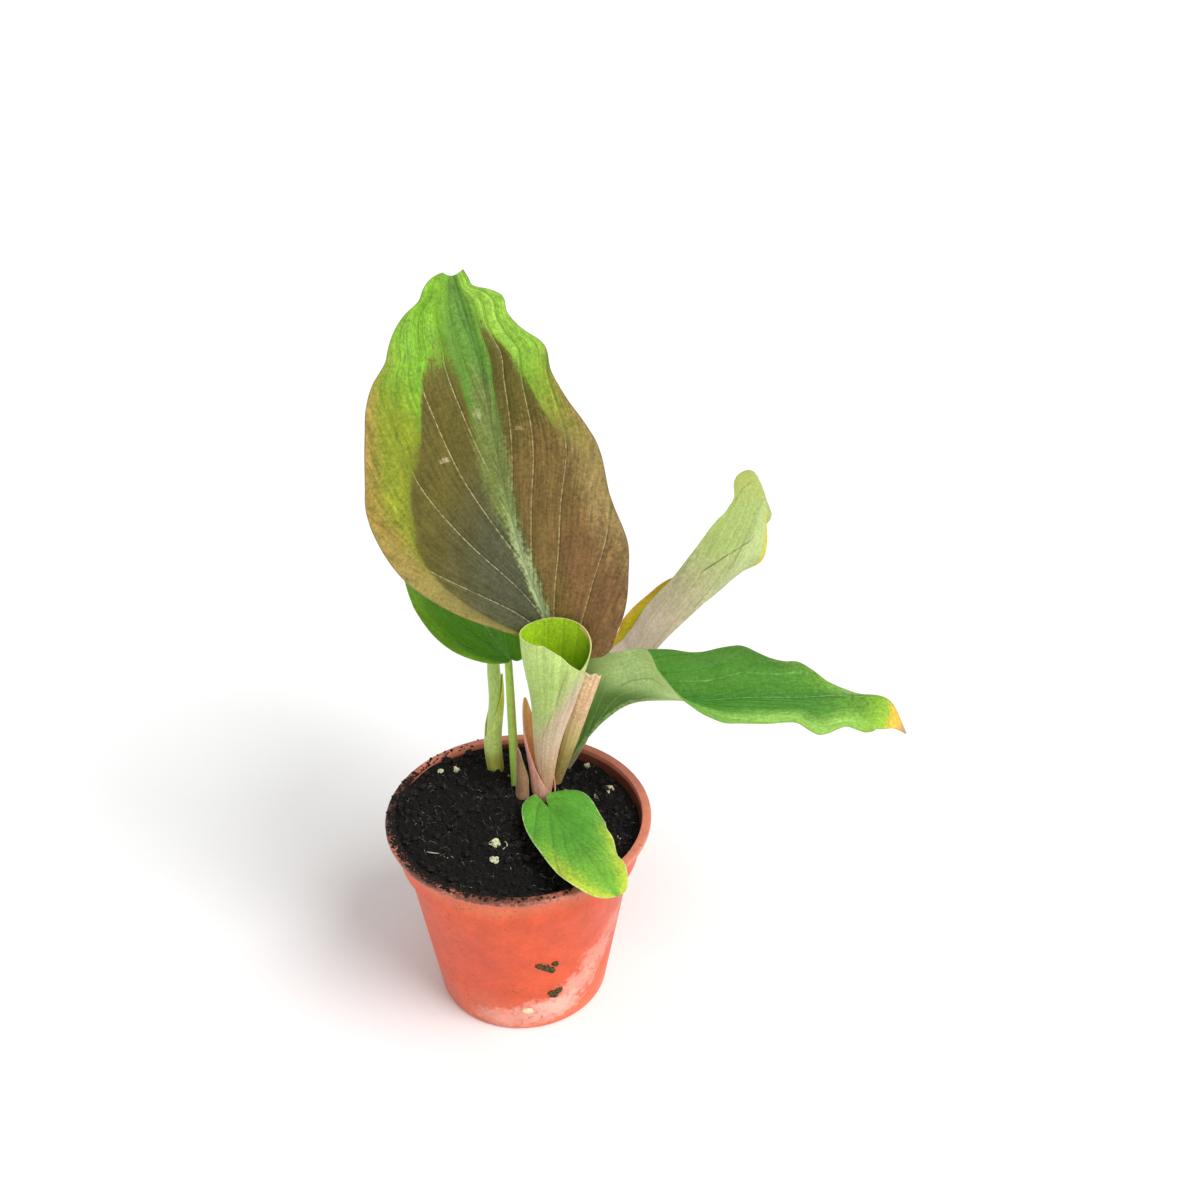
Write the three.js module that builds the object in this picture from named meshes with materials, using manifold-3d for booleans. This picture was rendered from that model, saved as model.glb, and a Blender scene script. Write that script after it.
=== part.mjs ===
// A young peacock ginger in a small nursery pot, built as a scene graph of named meshes.
// Millimetres, +Z up. The origin is the centre of the pot's foot, and the viewer's side is -Y.
import * as THREE from "three";
import { ConvexGeometry } from "three/addons/geometries/ConvexGeometry.js";
import { mergeVertices } from "three/addons/utils/BufferGeometryUtils.js";
import Module from "manifold-3d";

const wasm = await Module();
wasm.setup();

const DEG = Math.PI / 180;
const TURN = 2 * Math.PI;

// Clearance between neighbouring pieces, and how far a cavity is grown to leave it.
const GAP = 0.3;
const CAVITY_GROWTH = 0.35;

// Pot: a thin tapered cup with a collar, a rolled lip, a foot ring and a flat boss under the floor.
const POT = {
  height: 72,
  lipRadius: 45,
  lipDepth: 1.8,
  lipRound: 0.4,
  wall: 1.1,
  collarTopRadius: 43,
  collarFootRadius: 41,
  collarFootHeight: 58.8,
  bodyTopRadius: 39,
  bodyTopHeight: 57.6,
  footRadius: 29.8,
  footRound: 1.6,
  footRingWidth: 3.2,
  bossRadius: 12,
  recess: 1.2,
  floorTop: 2.4,
  corner: 1.2,
  holeCount: 6,
  holeRadius: 2.6,
  holeCircle: 19,
  holeSides: 12,
  segments: 48,
};

// Soil: heaped on the left, low on the right, with low lumps.
const SOIL = {
  bottom: POT.floorTop + GAP,
  mean: 68.2,
  fallAcross: 0.055,
  mounds: [
    { x: -34, y: 9, height: 2.4, spread: 15 },
    { x: 12, y: 0, height: -1.2, spread: 13 },
    { x: 2, y: 22, height: 0.8, spread: 12 },
  ],
  ripples: [
    { depth: 0.45, alongX: 0.31, alongY: 0.17, start: 0.4 },
    { depth: 0.35, alongX: -0.23, alongY: 0.41, start: 1.7 },
  ],
  segments: 36,
  topRings: 8,
};

// Leaf thicknesses: blades, and the papery sheaths.
const BLADE = 0.55;
const SHEATH = 0.45;
const LEAF_ROWS = 28;
const LEAF_COLUMNS = 8;

const COLOURS = {
  terracotta: 0xc4573d,
  soil: 0x1d1713,
  bronze: 0x6b5633,
  deepGreen: 0x2f6b24,
  green: 0x4f9a3c,
  paleGreen: 0xa9c483,
  pinkGreen: 0xb8a98f,
  stalk: 0x86a94e,
  pink: 0xd39a7c,
  tan: 0xb98d62,
  paper: 0xb7a18f,
  root: 0xc9b48a,
  rhizome: 0x9c7b52,
  perlite: 0xe6e2cf,
  granule: 0xb9b36a,
  fibre: 0x9a8a72,
};

// Blades are described along their length s, from 0 at the base to 1 at the tip. Each list pairs a
// share of the length with a value there. left and right are half widths (mm) seen on the upper face
// with the tip up, fold is the angle a half stands up from the midrib (degrees), curl is how far it
// bends on from there, lobe draws the base back beside the stalk and horn the tip on, both as shares
// of the length, and bumps are [share of the length, mm, spread].
const MAIN_BLADE = {
  rib: [[13.5, 17, 126.5], [2, 21, 162.5], [-4.5, 27, 192.5], [-9.5, 34, 219.5], [-17.3, 44.7, 244.2]],
  face: [[0, [0.15, -1, 0.45]], [1, [0.15, -1, 0.45]]],
  left: {
    width: [[0, 1.5], [0.03, 5], [0.12, 16.5], [0.25, 31.5], [0.34, 40], [0.41, 43.5], [0.5, 45],
      [0.59, 42.5], [0.67, 40], [0.73, 38], [0.79, 34.2], [0.84, 28.2], [0.87, 26.2], [0.9, 23.6],
      [0.94, 17.8], [0.96, 12.8], [0.975, 10.8], [1, 2.7]],
    fold: [[0, 16], [0.5, 12], [1, 6]],
    curl: [[0, 0], [0.5, 6], [1, 4]],
    lobe: -0.02,
    horn: 0.013,
  },
  right: {
    width: [[0, 13], [0.01, 17], [0.03, 19.4], [0.05, 21.4], [0.08, 24.8], [0.12, 28], [0.18, 31.2],
      [0.25, 34], [0.41, 32.5], [0.54, 31.8], [0.6, 29.2], [0.67, 24.6], [0.73, 21.5], [0.79, 20.8],
      [0.83, 16], [0.87, 13], [0.92, 12.6], [0.945, 9], [0.96, 5.4], [0.98, 4.4], [1, 3.4]],
    fold: [[0, 16], [0.5, 12], [1, 6]],
    curl: [[0, 6], [0.5, 10], [1, 4]],
    lobe: 0.05,
    horn: 0.008,
  },
};
const REAR_BLADE = {
  rib: [[-3.5, 26, 117.5], [-15, 44, 125], [-23, 62, 139.5], [-26, 78, 155.5], [-24.5, 90, 169.5]],
  face: [[0, [0.25, -0.8, 0.6]], [1, [0.25, -0.8, 0.6]]],
  left: {
    width: [[0, 1], [0.04, 9.5], [0.15, 17], [0.31, 21.5], [0.5, 22], [0.69, 21], [0.85, 16.5],
      [0.96, 9], [1, 0.6]],
    fold: [[0, 14], [0.5, 10], [1, 6]],
    curl: [[0, 4], [0.5, 8], [1, 4]],
    lobe: 0.02,
  },
  right: {
    width: [[0, 3], [0.04, 11], [0.15, 20], [0.31, 23], [0.5, 23], [0.69, 20], [0.85, 14],
      [0.96, 7], [1, 0.6]],
    fold: [[0, 14], [0.5, 10], [1, 6]],
    curl: [[0, 4], [0.5, 8], [1, 4]],
    lobe: 0.04,
  },
};
const SMALL_BLADE = {
  rib: [[10.5, 0.5, 73], [14, -7, 74], [20, -20, 75.7], [26.5, -34.5, 77.5], [33, -46, 76]],
  face: [[0, [0, 0, 1]], [1, [0.1, 0, 1]]],
  left: {
    width: [[0, 3], [0.05, 13], [0.19, 14.5], [0.39, 13], [0.61, 10.5], [0.81, 8.5], [0.95, 5.5],
      [1, 0.4]],
    fold: [[0, 10], [1, 4]],
    curl: [[0, -10], [0.5, -20], [1, -10]],
    lobe: 0.16,
    bumps: [[0.42, -1.1, 0.07], [0.3, 0.5, 0.07]],
  },
  right: {
    width: [[0, 1], [0.05, 7.5], [0.19, 11.5], [0.39, 13], [0.61, 12.5], [0.81, 11], [0.95, 6.5],
      [1, 0.6]],
    fold: [[0, 10], [1, 4]],
    curl: [[0, -10], [0.5, -20], [1, -10]],
    lobe: 0.2,
  },
};
// The next two leaves run on down as channelled stalks into the soil.
const RIGHT_LEAF = {
  rib: [[10.5, 26, 62.2], [16, 25, 74.5], [23.2, 23.5, 87], [30, 21, 97], [38.8, 19, 104.6],
    [50.5, 17, 107], [63, 15, 107.5], [77.5, 13, 110], [94, 11, 111.5], [110, 8, 114.5],
    [122, 5, 115], [129, 3, 103]],
  face: [[0, [-0.6, 0.3, 0.7]], [0.25, [-0.5, 0.4, 0.8]], [0.36, [-0.2, 0.3, 1]], [0.6, [0, 0, 1]],
    [0.85, [0, 0, 1]], [1, [0.3, 0, 1]]],
  left: {
    width: [[0, 3.6], [0.1, 4], [0.18, 6.5], [0.24, 11], [0.29, 14.5], [0.34, 16.2], [0.42, 17.3],
      [0.46, 16.8], [0.5, 17.6], [0.56, 19.4], [0.59, 19.7], [0.62, 17.5], [0.65, 15.5], [0.68, 14.7],
      [0.71, 15.2], [0.74, 12.7], [0.77, 8.4], [0.8, 6.2], [0.84, 4.6], [0.94, 3], [1, 0.4]],
    fold: [[0, 20], [0.2, 25], [0.32, 55], [0.45, 45], [0.6, 28], [0.76, 8], [0.85, -30], [1, -60]],
    curl: [[0, 110], [0.2, 80], [0.33, 20], [0.5, 8], [1, -10]],
  },
  right: {
    width: [[0, 3.6], [0.12, 3.8], [0.18, 5], [0.22, 8.6], [0.26, 14.4], [0.28, 18], [0.3, 21],
      [0.32, 21], [0.34, 18.6], [0.38, 19.8], [0.41, 22.4], [0.43, 22], [0.48, 19.5], [0.53, 19],
      [0.56, 19.4], [0.59, 17.2], [0.62, 15.8], [0.65, 15], [0.68, 13.9], [0.71, 14.2], [0.74, 18.3],
      [0.76, 20], [0.78, 18.6], [0.8, 15.8], [0.82, 13.9], [0.84, 14.6], [0.86, 15.5], [0.88, 14.8],
      [0.9, 13.5], [0.92, 12.6], [0.94, 10.2], [0.96, 6], [0.98, 3], [1, 0.4]],
    fold: [[0, 20], [0.2, 40], [0.29, 86], [0.35, 82], [0.39, 70], [0.42, 47], [0.45, 31], [0.5, 19],
      [0.6, 5], [0.75, 0], [0.82, -12], [0.92, -22], [1, -30]],
    curl: [[0, 110], [0.2, 80], [0.3, 12], [0.4, 5], [1, 0]],
  },
};
const UPPER_LEAF = {
  rib: [[13.5, 31, 62.2], [22, 31, 79], [31, 32, 101.4], [41.8, 30.8, 112.6], [51.2, 30.6, 124.5],
    [62.3, 32, 136.2], [72, 37.5, 146], [79, 46, 155], [83.5, 56, 161.5], [87.5, 66, 152]],
  face: [[0, [-0.4, 0.85, 0.1]], [0.4, [-0.15, 0.9, -0.3]], [0.75, [-0.2, 0.85, -0.3]],
    [0.88, [-0.4, 0.7, -0.5]], [1, [-0.5, 0.2, -0.9]]],
  left: {
    width: [[0, 3], [0.2, 3.2], [0.3, 8], [0.36, 17], [0.44, 19.6], [0.52, 19.4], [0.62, 20.4],
      [0.72, 16], [0.79, 10.8], [0.86, 4.6], [0.93, 5.6], [0.98, 5.5], [1, 2]],
    fold: [[0, 20], [0.3, 70], [0.44, 85], [0.54, 80], [0.64, 40], [0.74, 10], [1, 13]],
    curl: [[0, 120], [0.3, 122], [0.42, 100], [0.5, 90], [0.6, 122], [0.7, 145], [0.78, 52],
      [0.86, 52], [1, 74]],
  },
  right: {
    width: [[0, 3], [0.2, 5], [0.36, 12], [0.44, 12.6], [0.5, 13.8], [0.6, 13.8], [0.7, 14],
      [0.78, 13.2], [0.85, 10.6], [0.88, 10], [0.9, 12.8], [0.915, 12.8], [0.94, 12], [0.98, 8.5],
      [1, 2]],
    fold: [[0, 20], [0.4, 22], [0.7, 15], [1, 0]],
    curl: [[0, 120], [0.3, 50], [0.45, 50], [0.7, 22], [0.85, 20], [1, 24]],
  },
};

// Rolled pieces wrap round a centre line from one angle to another (degrees from +X), and each is
// cut off along its rim at a share of the centre line's height. lap is the step (mm) outwards over
// one wrap, so that a roll of more than a full turn clears itself.
const ROLLED_LEAF = {
  axis: [[8, 15.5, 66], [9.5, 12.5, 91.5], [12, 11, 110.5], [13.5, 8, 130], [14, 9, 146]],
  across: [1.6, 4.2, 7.2, 11, 12.4],
  deep: [1.6, 3.1, 4.6, 6.6, 7.6],
  from: -75,
  to: 341,
  rim: [0.66, 0.7, 0.8, 0.875, 0.9, 0.89, 0.875, 0.865, 0.85, 0.74, 0.66],
  lap: 0.9,
};
const OUTER_SHEATH = {
  axis: [[8, 15.5, 62.5], [7.6, 15, 78], [5.6, 15.5, 94], [4.5, 16, 107]],
  across: [3.7, 4.3, 4, 3],
  deep: [3.5, 4, 3.6, 2.8],
  from: -25,
  to: 320,
  rim: [0.12, 0.2, 0.4, 0.72, 0.98, 0.95, 0.7, 0.42, 0.25, 0.14],
  lap: 0,
};
const INNER_SHEATH = {
  axis: [[13, 20.5, 69.5], [17.8, 17.5, 92], [24.6, 14.5, 121]],
  across: [2, 3.5, 4.2],
  deep: [1.8, 2.7, 3.2],
  from: -170,
  to: 70,
  rim: [0.96, 0.99, 1, 0.985, 0.99, 0.96, 0.95, 0.92, 0.86, 0.72],
  lap: 0,
};
const DRIED_SHEATH = {
  axis: [[0.4, 12, 62.5], [0.8, 12.6, 75.5], [0.8, 14.5, 89]],
  across: [2.3, 2.1, 1.7],
  deep: [2.3, 2.1, 1.7],
  from: 165,
  to: 345,
  rim: [0.9, 1, 0.95, 0.75, 0.55],
  lap: 0,
};

// Round stems: a centre line from the rhizome upwards and the radius at equal steps along it.
const STEMS = {
  main_leaf_stalk: {
    path: [[5.5, 25.5, 62], [8.5, 23.5, 85.5], [11.3, 19.8, 109], [13.3, 17.8, 124.8]],
    radius: [2.1, 2, 1.9, 1.4],
    colour: COLOURS.stalk,
  },
  rear_leaf_stalk: {
    path: [[-1.5, 17, 62], [-2.5, 20, 87.5], [-3, 23, 102.5], [-3.5, 25.8, 116.2]],
    radius: [1.9, 1.6, 1.5, 1.35],
    colour: COLOURS.stalk,
  },
  small_leaf_stalk: {
    path: [[10.5, 10, 61.9], [10.8, 6.5, 66.5], [10.4, 2.4, 71.7]],
    radius: [1.1, 1, 0.8],
    colour: COLOURS.tan,
  },
  furled_shoot: {
    path: [[-9, 27, 62.5], [-10.3, 28, 81], [-9, 31, 97], [-9.5, 35, 109], [-9.5, 38, 116]],
    radius: [1.8, 2.1, 2.3, 2.4, 2.1],
    colour: COLOURS.paleGreen,
  },
};
const STEM_SIDES = 8;
const STEM_STEP = 7;

// The scale that wraps the foot of the furled shoot, open along a slanting edge.
const SHOOT_SCALE = {
  axis: [[-9, 27, 62.5], [-10.3, 28, 81], [-9, 31, 97], [-9.5, 35, 109]],
  across: [2.6, 3.0, 3.0, 2.9],
  deep: [2.6, 3.0, 3.0, 2.9],
  from: -170,
  to: 160,
  rim: [0.36, 0.45, 0.66, 0.88, 0.86, 0.7, 0.45],
  lap: 0,
};

// Rhizome: fused lumps, one under each group of stems. Storage roots leave a lump on a route and
// swell along it.
const RHIZOME_LUMPS = [
  { centre: [8, 20, 56], radii: [8.5, 9, 6] },
  { centre: [-1.5, 18, 56.5], radii: [5, 5, 5.2] },
  { centre: [-8.5, 26, 56.5], radii: [5.5, 5.5, 5.2] },
  { centre: [-4, 22, 55.5], radii: [6, 6, 5] },
  { centre: [12.5, 28.5, 56.5], radii: [5.5, 6, 5.2] },
  { centre: [10.5, 11.5, 57], radii: [4, 4, 4.6] },
];
const STORAGE_ROOTS = [
  { lump: 0, route: [[17, 10, 44], [21, 0, 33], [20, -9, 20]] },
  { lump: 1, route: [[-4, 9, 44], [-8, -2, 33], [-8, -12, 19]] },
  { lump: 2, route: [[-17, 22, 45], [-22, 15, 33], [-19, 8, 20]] },
  { lump: 4, route: [[11, 28, 43], [9, 26, 31], [5, 22, 19]] },
];
// Radii of a storage root at equal steps from the rhizome to its tip.
const ROOT_RADII = [1.2, 1.4, 4.2, 4.6, 2.8, 0.9];

// Sockets for the sheets reach up to this height, clear of the soil, and stand off by this much.
const SOCKET_TOP = 78;
const SOCKET_REACH = 1.4 * (BLADE / 2 + CAVITY_GROWTH);

// Loose bits on the soil: place on the surface and half sizes. Grains sit about half sunk.
const PERLITE = [
  { x: -23.4, y: 25.7, radii: [1.4, 1.1, 1.0] },
  { x: -28.9, y: 23.4, radii: [1.1, 1.0, 0.8] },
  { x: -7.2, y: -13.7, radii: [2.2, 1.6, 1.4] },
  { x: -7, y: -21.9, radii: [1.5, 1.2, 1.1] },
  { x: 30.8, y: 17.7, radii: [1.9, 1.4, 1.3] },
  { x: 26.6, y: 14.8, radii: [1.2, 1.0, 0.9] },
  { x: 22.9, y: 31.8, radii: [1.3, 1.1, 0.8] },
  { x: 34.6, y: -6.2, radii: [1.3, 1.1, 1.0] },
];
const GRANULES = [
  { x: -4.8, y: 22.4, radii: [0.9, 0.8, 0.8] },
  { x: -21.6, y: -21, radii: [1.2, 1.0, 0.9] },
  { x: 15.6, y: 16.4, radii: [1.0, 0.8, 0.8] },
];
const ROOTLETS = [
  [[-4.6, -17, 0.8], [-3.2, -15.2, 1.2], [-3.6, -13, 1.3], [-5, -11.4, 0.8]],
  [[-29.2, -19.6, 0.8], [-27.4, -20.4, 1.3], [-25.2, -20, 0.8]],
];
const ROOTLET_RADIUS = 0.35;
// How far the surface of a loose bit swells and shrinks, as a share of its size.
const CRUMB_SWELL = 0.14;
const CRUMB_SIDES = 7;
const CRUMB_ROWS = 4;

const clamp = THREE.MathUtils.clamp;
const smoothstep = THREE.MathUtils.smoothstep;

function curveThrough(points) {
  const vectors = points.map((p) => new THREE.Vector3(...p));
  return new THREE.CatmullRomCurve3(vectors, false, "catmullrom", 0.5);
}

// A value at share t of a list of equally spaced values, on a smooth curve through them.
function along(values, t) {
  const curve = curveThrough(values.map((value) => [value, 0, 0]));
  return curve.getPoint(clamp(t, 0, 1)).x;
}

// A value at share s of a leaf's length from its knots [share, value]. The shares are spread by an
// arc cosine first, so that widths close roundly at the base and the tip.
function profile(knots, s) {
  const place = (share) => Math.acos(1 - 2 * clamp(share, 0, 1)) / Math.PI;
  const last = knots.length - 1;
  const u = place(s);
  const at = knots.map(([share]) => place(share));
  const slope = (k) => (knots[k + 1][1] - knots[k][1]) / (at[k + 1] - at[k]);
  const tangent = (k) => {
    if (k === 0) return slope(0);
    if (k === last) return slope(last - 1);
    const before = at[k] - at[k - 1];
    const after = at[k + 1] - at[k];
    return (slope(k) * before + slope(k - 1) * after) / (before + after);
  };
  let k = 0;
  while (k < last - 1 && u >= at[k + 1]) k += 1;
  const step = at[k + 1] - at[k];
  const f = clamp((u - at[k]) / step, 0, 1);
  const near = (1 + 2 * f) * (1 - f) ** 2;
  const lean = f * (1 - f) ** 2 * step;
  const far = f ** 2 * (3 - 2 * f);
  const leanFar = f ** 2 * (f - 1) * step;
  return near * knots[k][1] + lean * tangent(k) + far * knots[k + 1][1] + leanFar * tangent(k + 1);
}

function faceDirection(face, s) {
  const part = (axis) => profile(face.map(([share, v]) => [share, v[axis]]), s);
  return new THREE.Vector3(part(0), part(1), part(2));
}

// One point of a blade: a is how far out on the half it lies, from 0 on the midrib to 1.
function bladePoint(half, side, s, a, frame) {
  let width = profile(half.width, s);
  for (const [share, mm, spread] of half.bumps ?? []) {
    width += mm * Math.exp(-(((s - share) / spread) ** 2));
  }
  width = Math.max(width, 0.15);
  const fold = profile(half.fold, s) * DEG;
  const curl = profile(half.curl, s) * DEG || 1e-4;
  const angle = fold + curl * a;
  const out = (width / curl) * (Math.sin(angle) - Math.sin(fold));
  const up = (width / curl) * (Math.cos(fold) - Math.cos(angle));
  const back = (half.lobe ?? 0) * (1 - s) ** 4 * (2 * a - a * a);
  const ahead = (half.horn ?? 0) * smoothstep(s, 0.95, 1) * a * a;
  return frame.centre
    .clone()
    .addScaledVector(frame.across, side * out)
    .addScaledVector(frame.normal, up)
    .addScaledVector(frame.baseTangent, (ahead - back) * frame.length);
}

// The middle surface of a blade: rows of points from the base to the tip.
function bladeGrid(blade, rows = LEAF_ROWS, columns = LEAF_COLUMNS) {
  const rib = curveThrough(blade.rib);
  const length = rib.getLength();
  const baseTangent = rib.getTangentAt(0);
  const grid = [];
  for (let i = 0; i <= rows; i += 1) {
    const s = 0.5 - 0.5 * Math.cos((Math.PI * i) / rows);
    const tangent = rib.getTangentAt(s);
    const normal = faceDirection(blade.face, s).projectOnPlane(tangent).normalize();
    const across = tangent.clone().cross(normal);
    const frame = { centre: rib.getPointAt(s), normal, across, baseTangent, length };
    const row = [];
    for (let j = 0; j <= columns; j += 1) {
      const q = -1 + (2 * j) / columns;
      const half = q < 0 ? blade.left : blade.right;
      row.push(bladePoint(half, q < 0 ? -1 : 1, s, Math.abs(q), frame));
    }
    grid.push(row);
  }
  return grid;
}

// The middle surface of a rolled piece: rows from the foot to the rim, columns round the wrap.
function rollGrid(roll, rows, columns) {
  const axis = curveThrough(roll.axis);
  const grid = [];
  for (let i = 0; i <= rows; i += 1) {
    const row = [];
    for (let j = 0; j <= columns; j += 1) {
      const q = j / columns;
      const t = clamp((i / rows) * along(roll.rim, q), 0, 1);
      const angle = (roll.from + (roll.to - roll.from) * q) * DEG;
      const step = roll.lap * (q - 0.5);
      const centre = axis.getPoint(t);
      centre.x += (along(roll.across, t) + step) * Math.cos(angle);
      centre.y += (along(roll.deep, t) + step) * Math.sin(angle);
      row.push(centre);
    }
    grid.push(row);
  }
  return grid;
}

function indexedGeometry(points, index) {
  const geometry = new THREE.BufferGeometry();
  geometry.setFromPoints(points);
  geometry.setIndex(index);
  return geometry;
}

// A closed sheet of even thickness about a grid of points.
function sheetGeometry(grid, thickness) {
  const rows = grid.length;
  const columns = grid[0].length;
  const normalAt = (i, j) => {
    const up = grid[Math.min(i + 1, rows - 1)][j].clone().sub(grid[Math.max(i - 1, 0)][j]);
    const across = grid[i][Math.min(j + 1, columns - 1)].clone();
    across.sub(grid[i][Math.max(j - 1, 0)]);
    return across.cross(up).normalize();
  };
  const faces = [];
  for (const side of [1, -1]) {
    grid.forEach((row, i) =>
      row.forEach((point, j) =>
        faces.push(point.clone().addScaledVector(normalAt(i, j), (side * thickness) / 2)),
      ),
    );
  }
  const front = (i, j) => i * columns + j;
  const back = (i, j) => rows * columns + i * columns + j;
  const index = [];
  const quad = (a, b, c, d) => index.push(a, b, c, a, c, d);
  for (let i = 0; i < rows - 1; i += 1) {
    for (let j = 0; j < columns - 1; j += 1) {
      quad(front(i, j), front(i, j + 1), front(i + 1, j + 1), front(i + 1, j));
      quad(back(i, j), back(i + 1, j), back(i + 1, j + 1), back(i, j + 1));
    }
    quad(front(i, 0), front(i + 1, 0), back(i + 1, 0), back(i, 0));
    const j = columns - 1;
    quad(front(i, j), back(i, j), back(i + 1, j), front(i + 1, j));
  }
  for (let j = 0; j < columns - 1; j += 1) {
    quad(front(0, j), back(0, j), back(0, j + 1), front(0, j + 1));
    const i = rows - 1;
    quad(front(i, j), front(i, j + 1), back(i, j + 1), back(i, j));
  }
  return indexedGeometry(faces, index);
}

// A closed round body along a centre line, with its radius given at equal steps.
function stemGeometry({ path, radius }, sides = STEM_SIDES, step = STEM_STEP) {
  const curve = curveThrough(path);
  const steps = Math.max(4, Math.ceil(curve.getLength() / step));
  const points = [];
  const index = [];
  for (let i = 0; i <= steps; i += 1) {
    const t = i / steps;
    const centre = curve.getPoint(t);
    const tangent = curve.getTangent(t);
    const side = new THREE.Vector3(1, 0, 0).projectOnPlane(tangent).normalize();
    const up = tangent.clone().cross(side);
    const r = along(radius, t);
    for (let k = 0; k < sides; k += 1) {
      const angle = (TURN * k) / sides;
      const point = centre.clone();
      point.addScaledVector(side, r * Math.cos(angle));
      point.addScaledVector(up, r * Math.sin(angle));
      points.push(point);
      const next = (k + 1) % sides;
      if (i < steps) {
        const a = i * sides + k;
        const b = i * sides + next;
        index.push(a, b, b + sides, a, b + sides, a + sides);
      }
    }
  }
  const foot = points.push(curve.getPoint(0)) - 1;
  const top = points.push(curve.getPoint(1)) - 1;
  for (let k = 0; k < sides; k += 1) {
    const next = (k + 1) % sides;
    index.push(foot, next, k);
    index.push(top, steps * sides + k, steps * sides + next);
  }
  return indexedGeometry(points, index);
}

function ellipsoidGeometry(centre, radii, width = 10, height = 7) {
  const geometry = new THREE.SphereGeometry(1, width, height);
  geometry.rotateX(90 * DEG);
  geometry.scale(...radii);
  geometry.translate(...centre);
  return geometry;
}

// A crumb with an uneven surface, the same each time it is built.
function crumbGeometry(radii, seed) {
  const geometry = mergeVertices(bare(new THREE.SphereGeometry(1, CRUMB_SIDES, CRUMB_ROWS)));
  const position = geometry.getAttribute("position");
  for (let i = 0; i < position.count; i += 1) {
    const swell = 1 + CRUMB_SWELL * Math.sin(7.3 * i + 3.1 * seed);
    position.setXYZ(i, position.getX(i) * swell, position.getY(i) * swell, position.getZ(i) * swell);
  }
  geometry.scale(...radii);
  return geometry;
}

// The geometry with nothing but its points, so that shared vertices can be merged.
function bare(geometry) {
  const clean = geometry.clone();
  clean.deleteAttribute("normal");
  clean.deleteAttribute("uv");
  return clean;
}

function toSolid(geometry) {
  const merged = mergeVertices(bare(geometry), 1e-4);
  const mesh = new wasm.Mesh({
    numProp: 3,
    vertProperties: new Float32Array(merged.getAttribute("position").array),
    triVerts: new Uint32Array(merged.index.array),
  });
  return new wasm.Manifold(mesh);
}

function toGeometry(solid) {
  const { vertProperties, triVerts } = solid.getMesh();
  const geometry = new THREE.BufferGeometry();
  geometry.setAttribute("position", new THREE.BufferAttribute(vertProperties, 3));
  geometry.setIndex(new THREE.BufferAttribute(triVerts, 1));
  geometry.computeVertexNormals();
  return geometry;
}

function cutOut(geometry, tools) {
  const cut = tools.reduce((solid, tool) => solid.subtract(toSolid(tool)), toSolid(geometry));
  return toGeometry(cut);
}

// Radius of the pot's inner wall at a height.
function innerRadius(z) {
  const knots = [
    [POT.floorTop, POT.footRadius - POT.wall],
    [POT.bodyTopHeight, POT.bodyTopRadius - POT.wall],
    [POT.collarFootHeight, POT.collarFootRadius - POT.wall],
    [POT.height - POT.lipDepth, POT.collarTopRadius - POT.wall],
    [POT.height, POT.collarTopRadius - 0.4],
  ];
  let k = 0;
  while (k < knots.length - 2 && z > knots[k + 1][0]) k += 1;
  const [z0, r0] = knots[k];
  const [z1, r1] = knots[k + 1];
  return r0 + ((r1 - r0) * clamp(z - z0, 0, z1 - z0)) / (z1 - z0);
}

function lathe(outline, segments) {
  const geometry = new THREE.LatheGeometry(
    outline.map(([r, z]) => new THREE.Vector2(r, z)),
    segments,
  );
  geometry.rotateX(90 * DEG);
  return geometry;
}

function potGeometry() {
  const p = POT;
  const footOuter = p.footRadius - p.footRound;
  const outline = [[0, 0], [p.bossRadius, 0], [p.bossRadius + 1, p.recess]];
  outline.push([footOuter - p.footRingWidth, p.recess], [footOuter - p.footRingWidth + 1, 0]);
  for (let k = 0; k <= 4; k += 1) {
    const turn = (k * 90 * DEG) / 4;
    outline.push([
      footOuter + p.footRound * Math.sin(turn),
      p.footRound * (1 - Math.cos(turn)),
    ]);
  }
  outline.push(
    [p.bodyTopRadius, p.bodyTopHeight],
    [p.collarFootRadius, p.collarFootHeight],
    [p.collarTopRadius, p.height - p.lipDepth],
    [p.lipRadius - p.lipRound, p.height - p.lipDepth],
    [p.lipRadius, p.height - p.lipDepth + p.lipRound],
    [p.lipRadius, p.height - p.lipRound],
    [p.lipRadius - p.lipRound, p.height],
  );
  for (const z of [p.height, p.height - p.lipDepth, p.collarFootHeight, p.bodyTopHeight]) {
    outline.push([innerRadius(z), z]);
  }
  outline.push([innerRadius(p.floorTop + p.corner), p.floorTop + p.corner]);
  outline.push([innerRadius(p.floorTop) - p.corner, p.floorTop], [0, p.floorTop]);
  const holes = [];
  for (let k = 0; k < p.holeCount; k += 1) {
    const angle = (TURN * (k + 0.5)) / p.holeCount;
    const hole = new THREE.CylinderGeometry(p.holeRadius, p.holeRadius, 8, p.holeSides);
    hole.rotateX(90 * DEG);
    hole.translate(p.holeCircle * Math.cos(angle), p.holeCircle * Math.sin(angle), p.recess);
    holes.push(hole);
  }
  return cutOut(lathe(outline, p.segments), holes);
}

function soilHeight(x, y) {
  let z = SOIL.mean - SOIL.fallAcross * x;
  for (const mound of SOIL.mounds) {
    const away = ((x - mound.x) ** 2 + (y - mound.y) ** 2) / mound.spread ** 2;
    z += mound.height * Math.exp(-away);
  }
  for (const ripple of SOIL.ripples) {
    z += ripple.depth * Math.sin(ripple.alongX * x + ripple.alongY * y + ripple.start);
  }
  return z;
}

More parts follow.
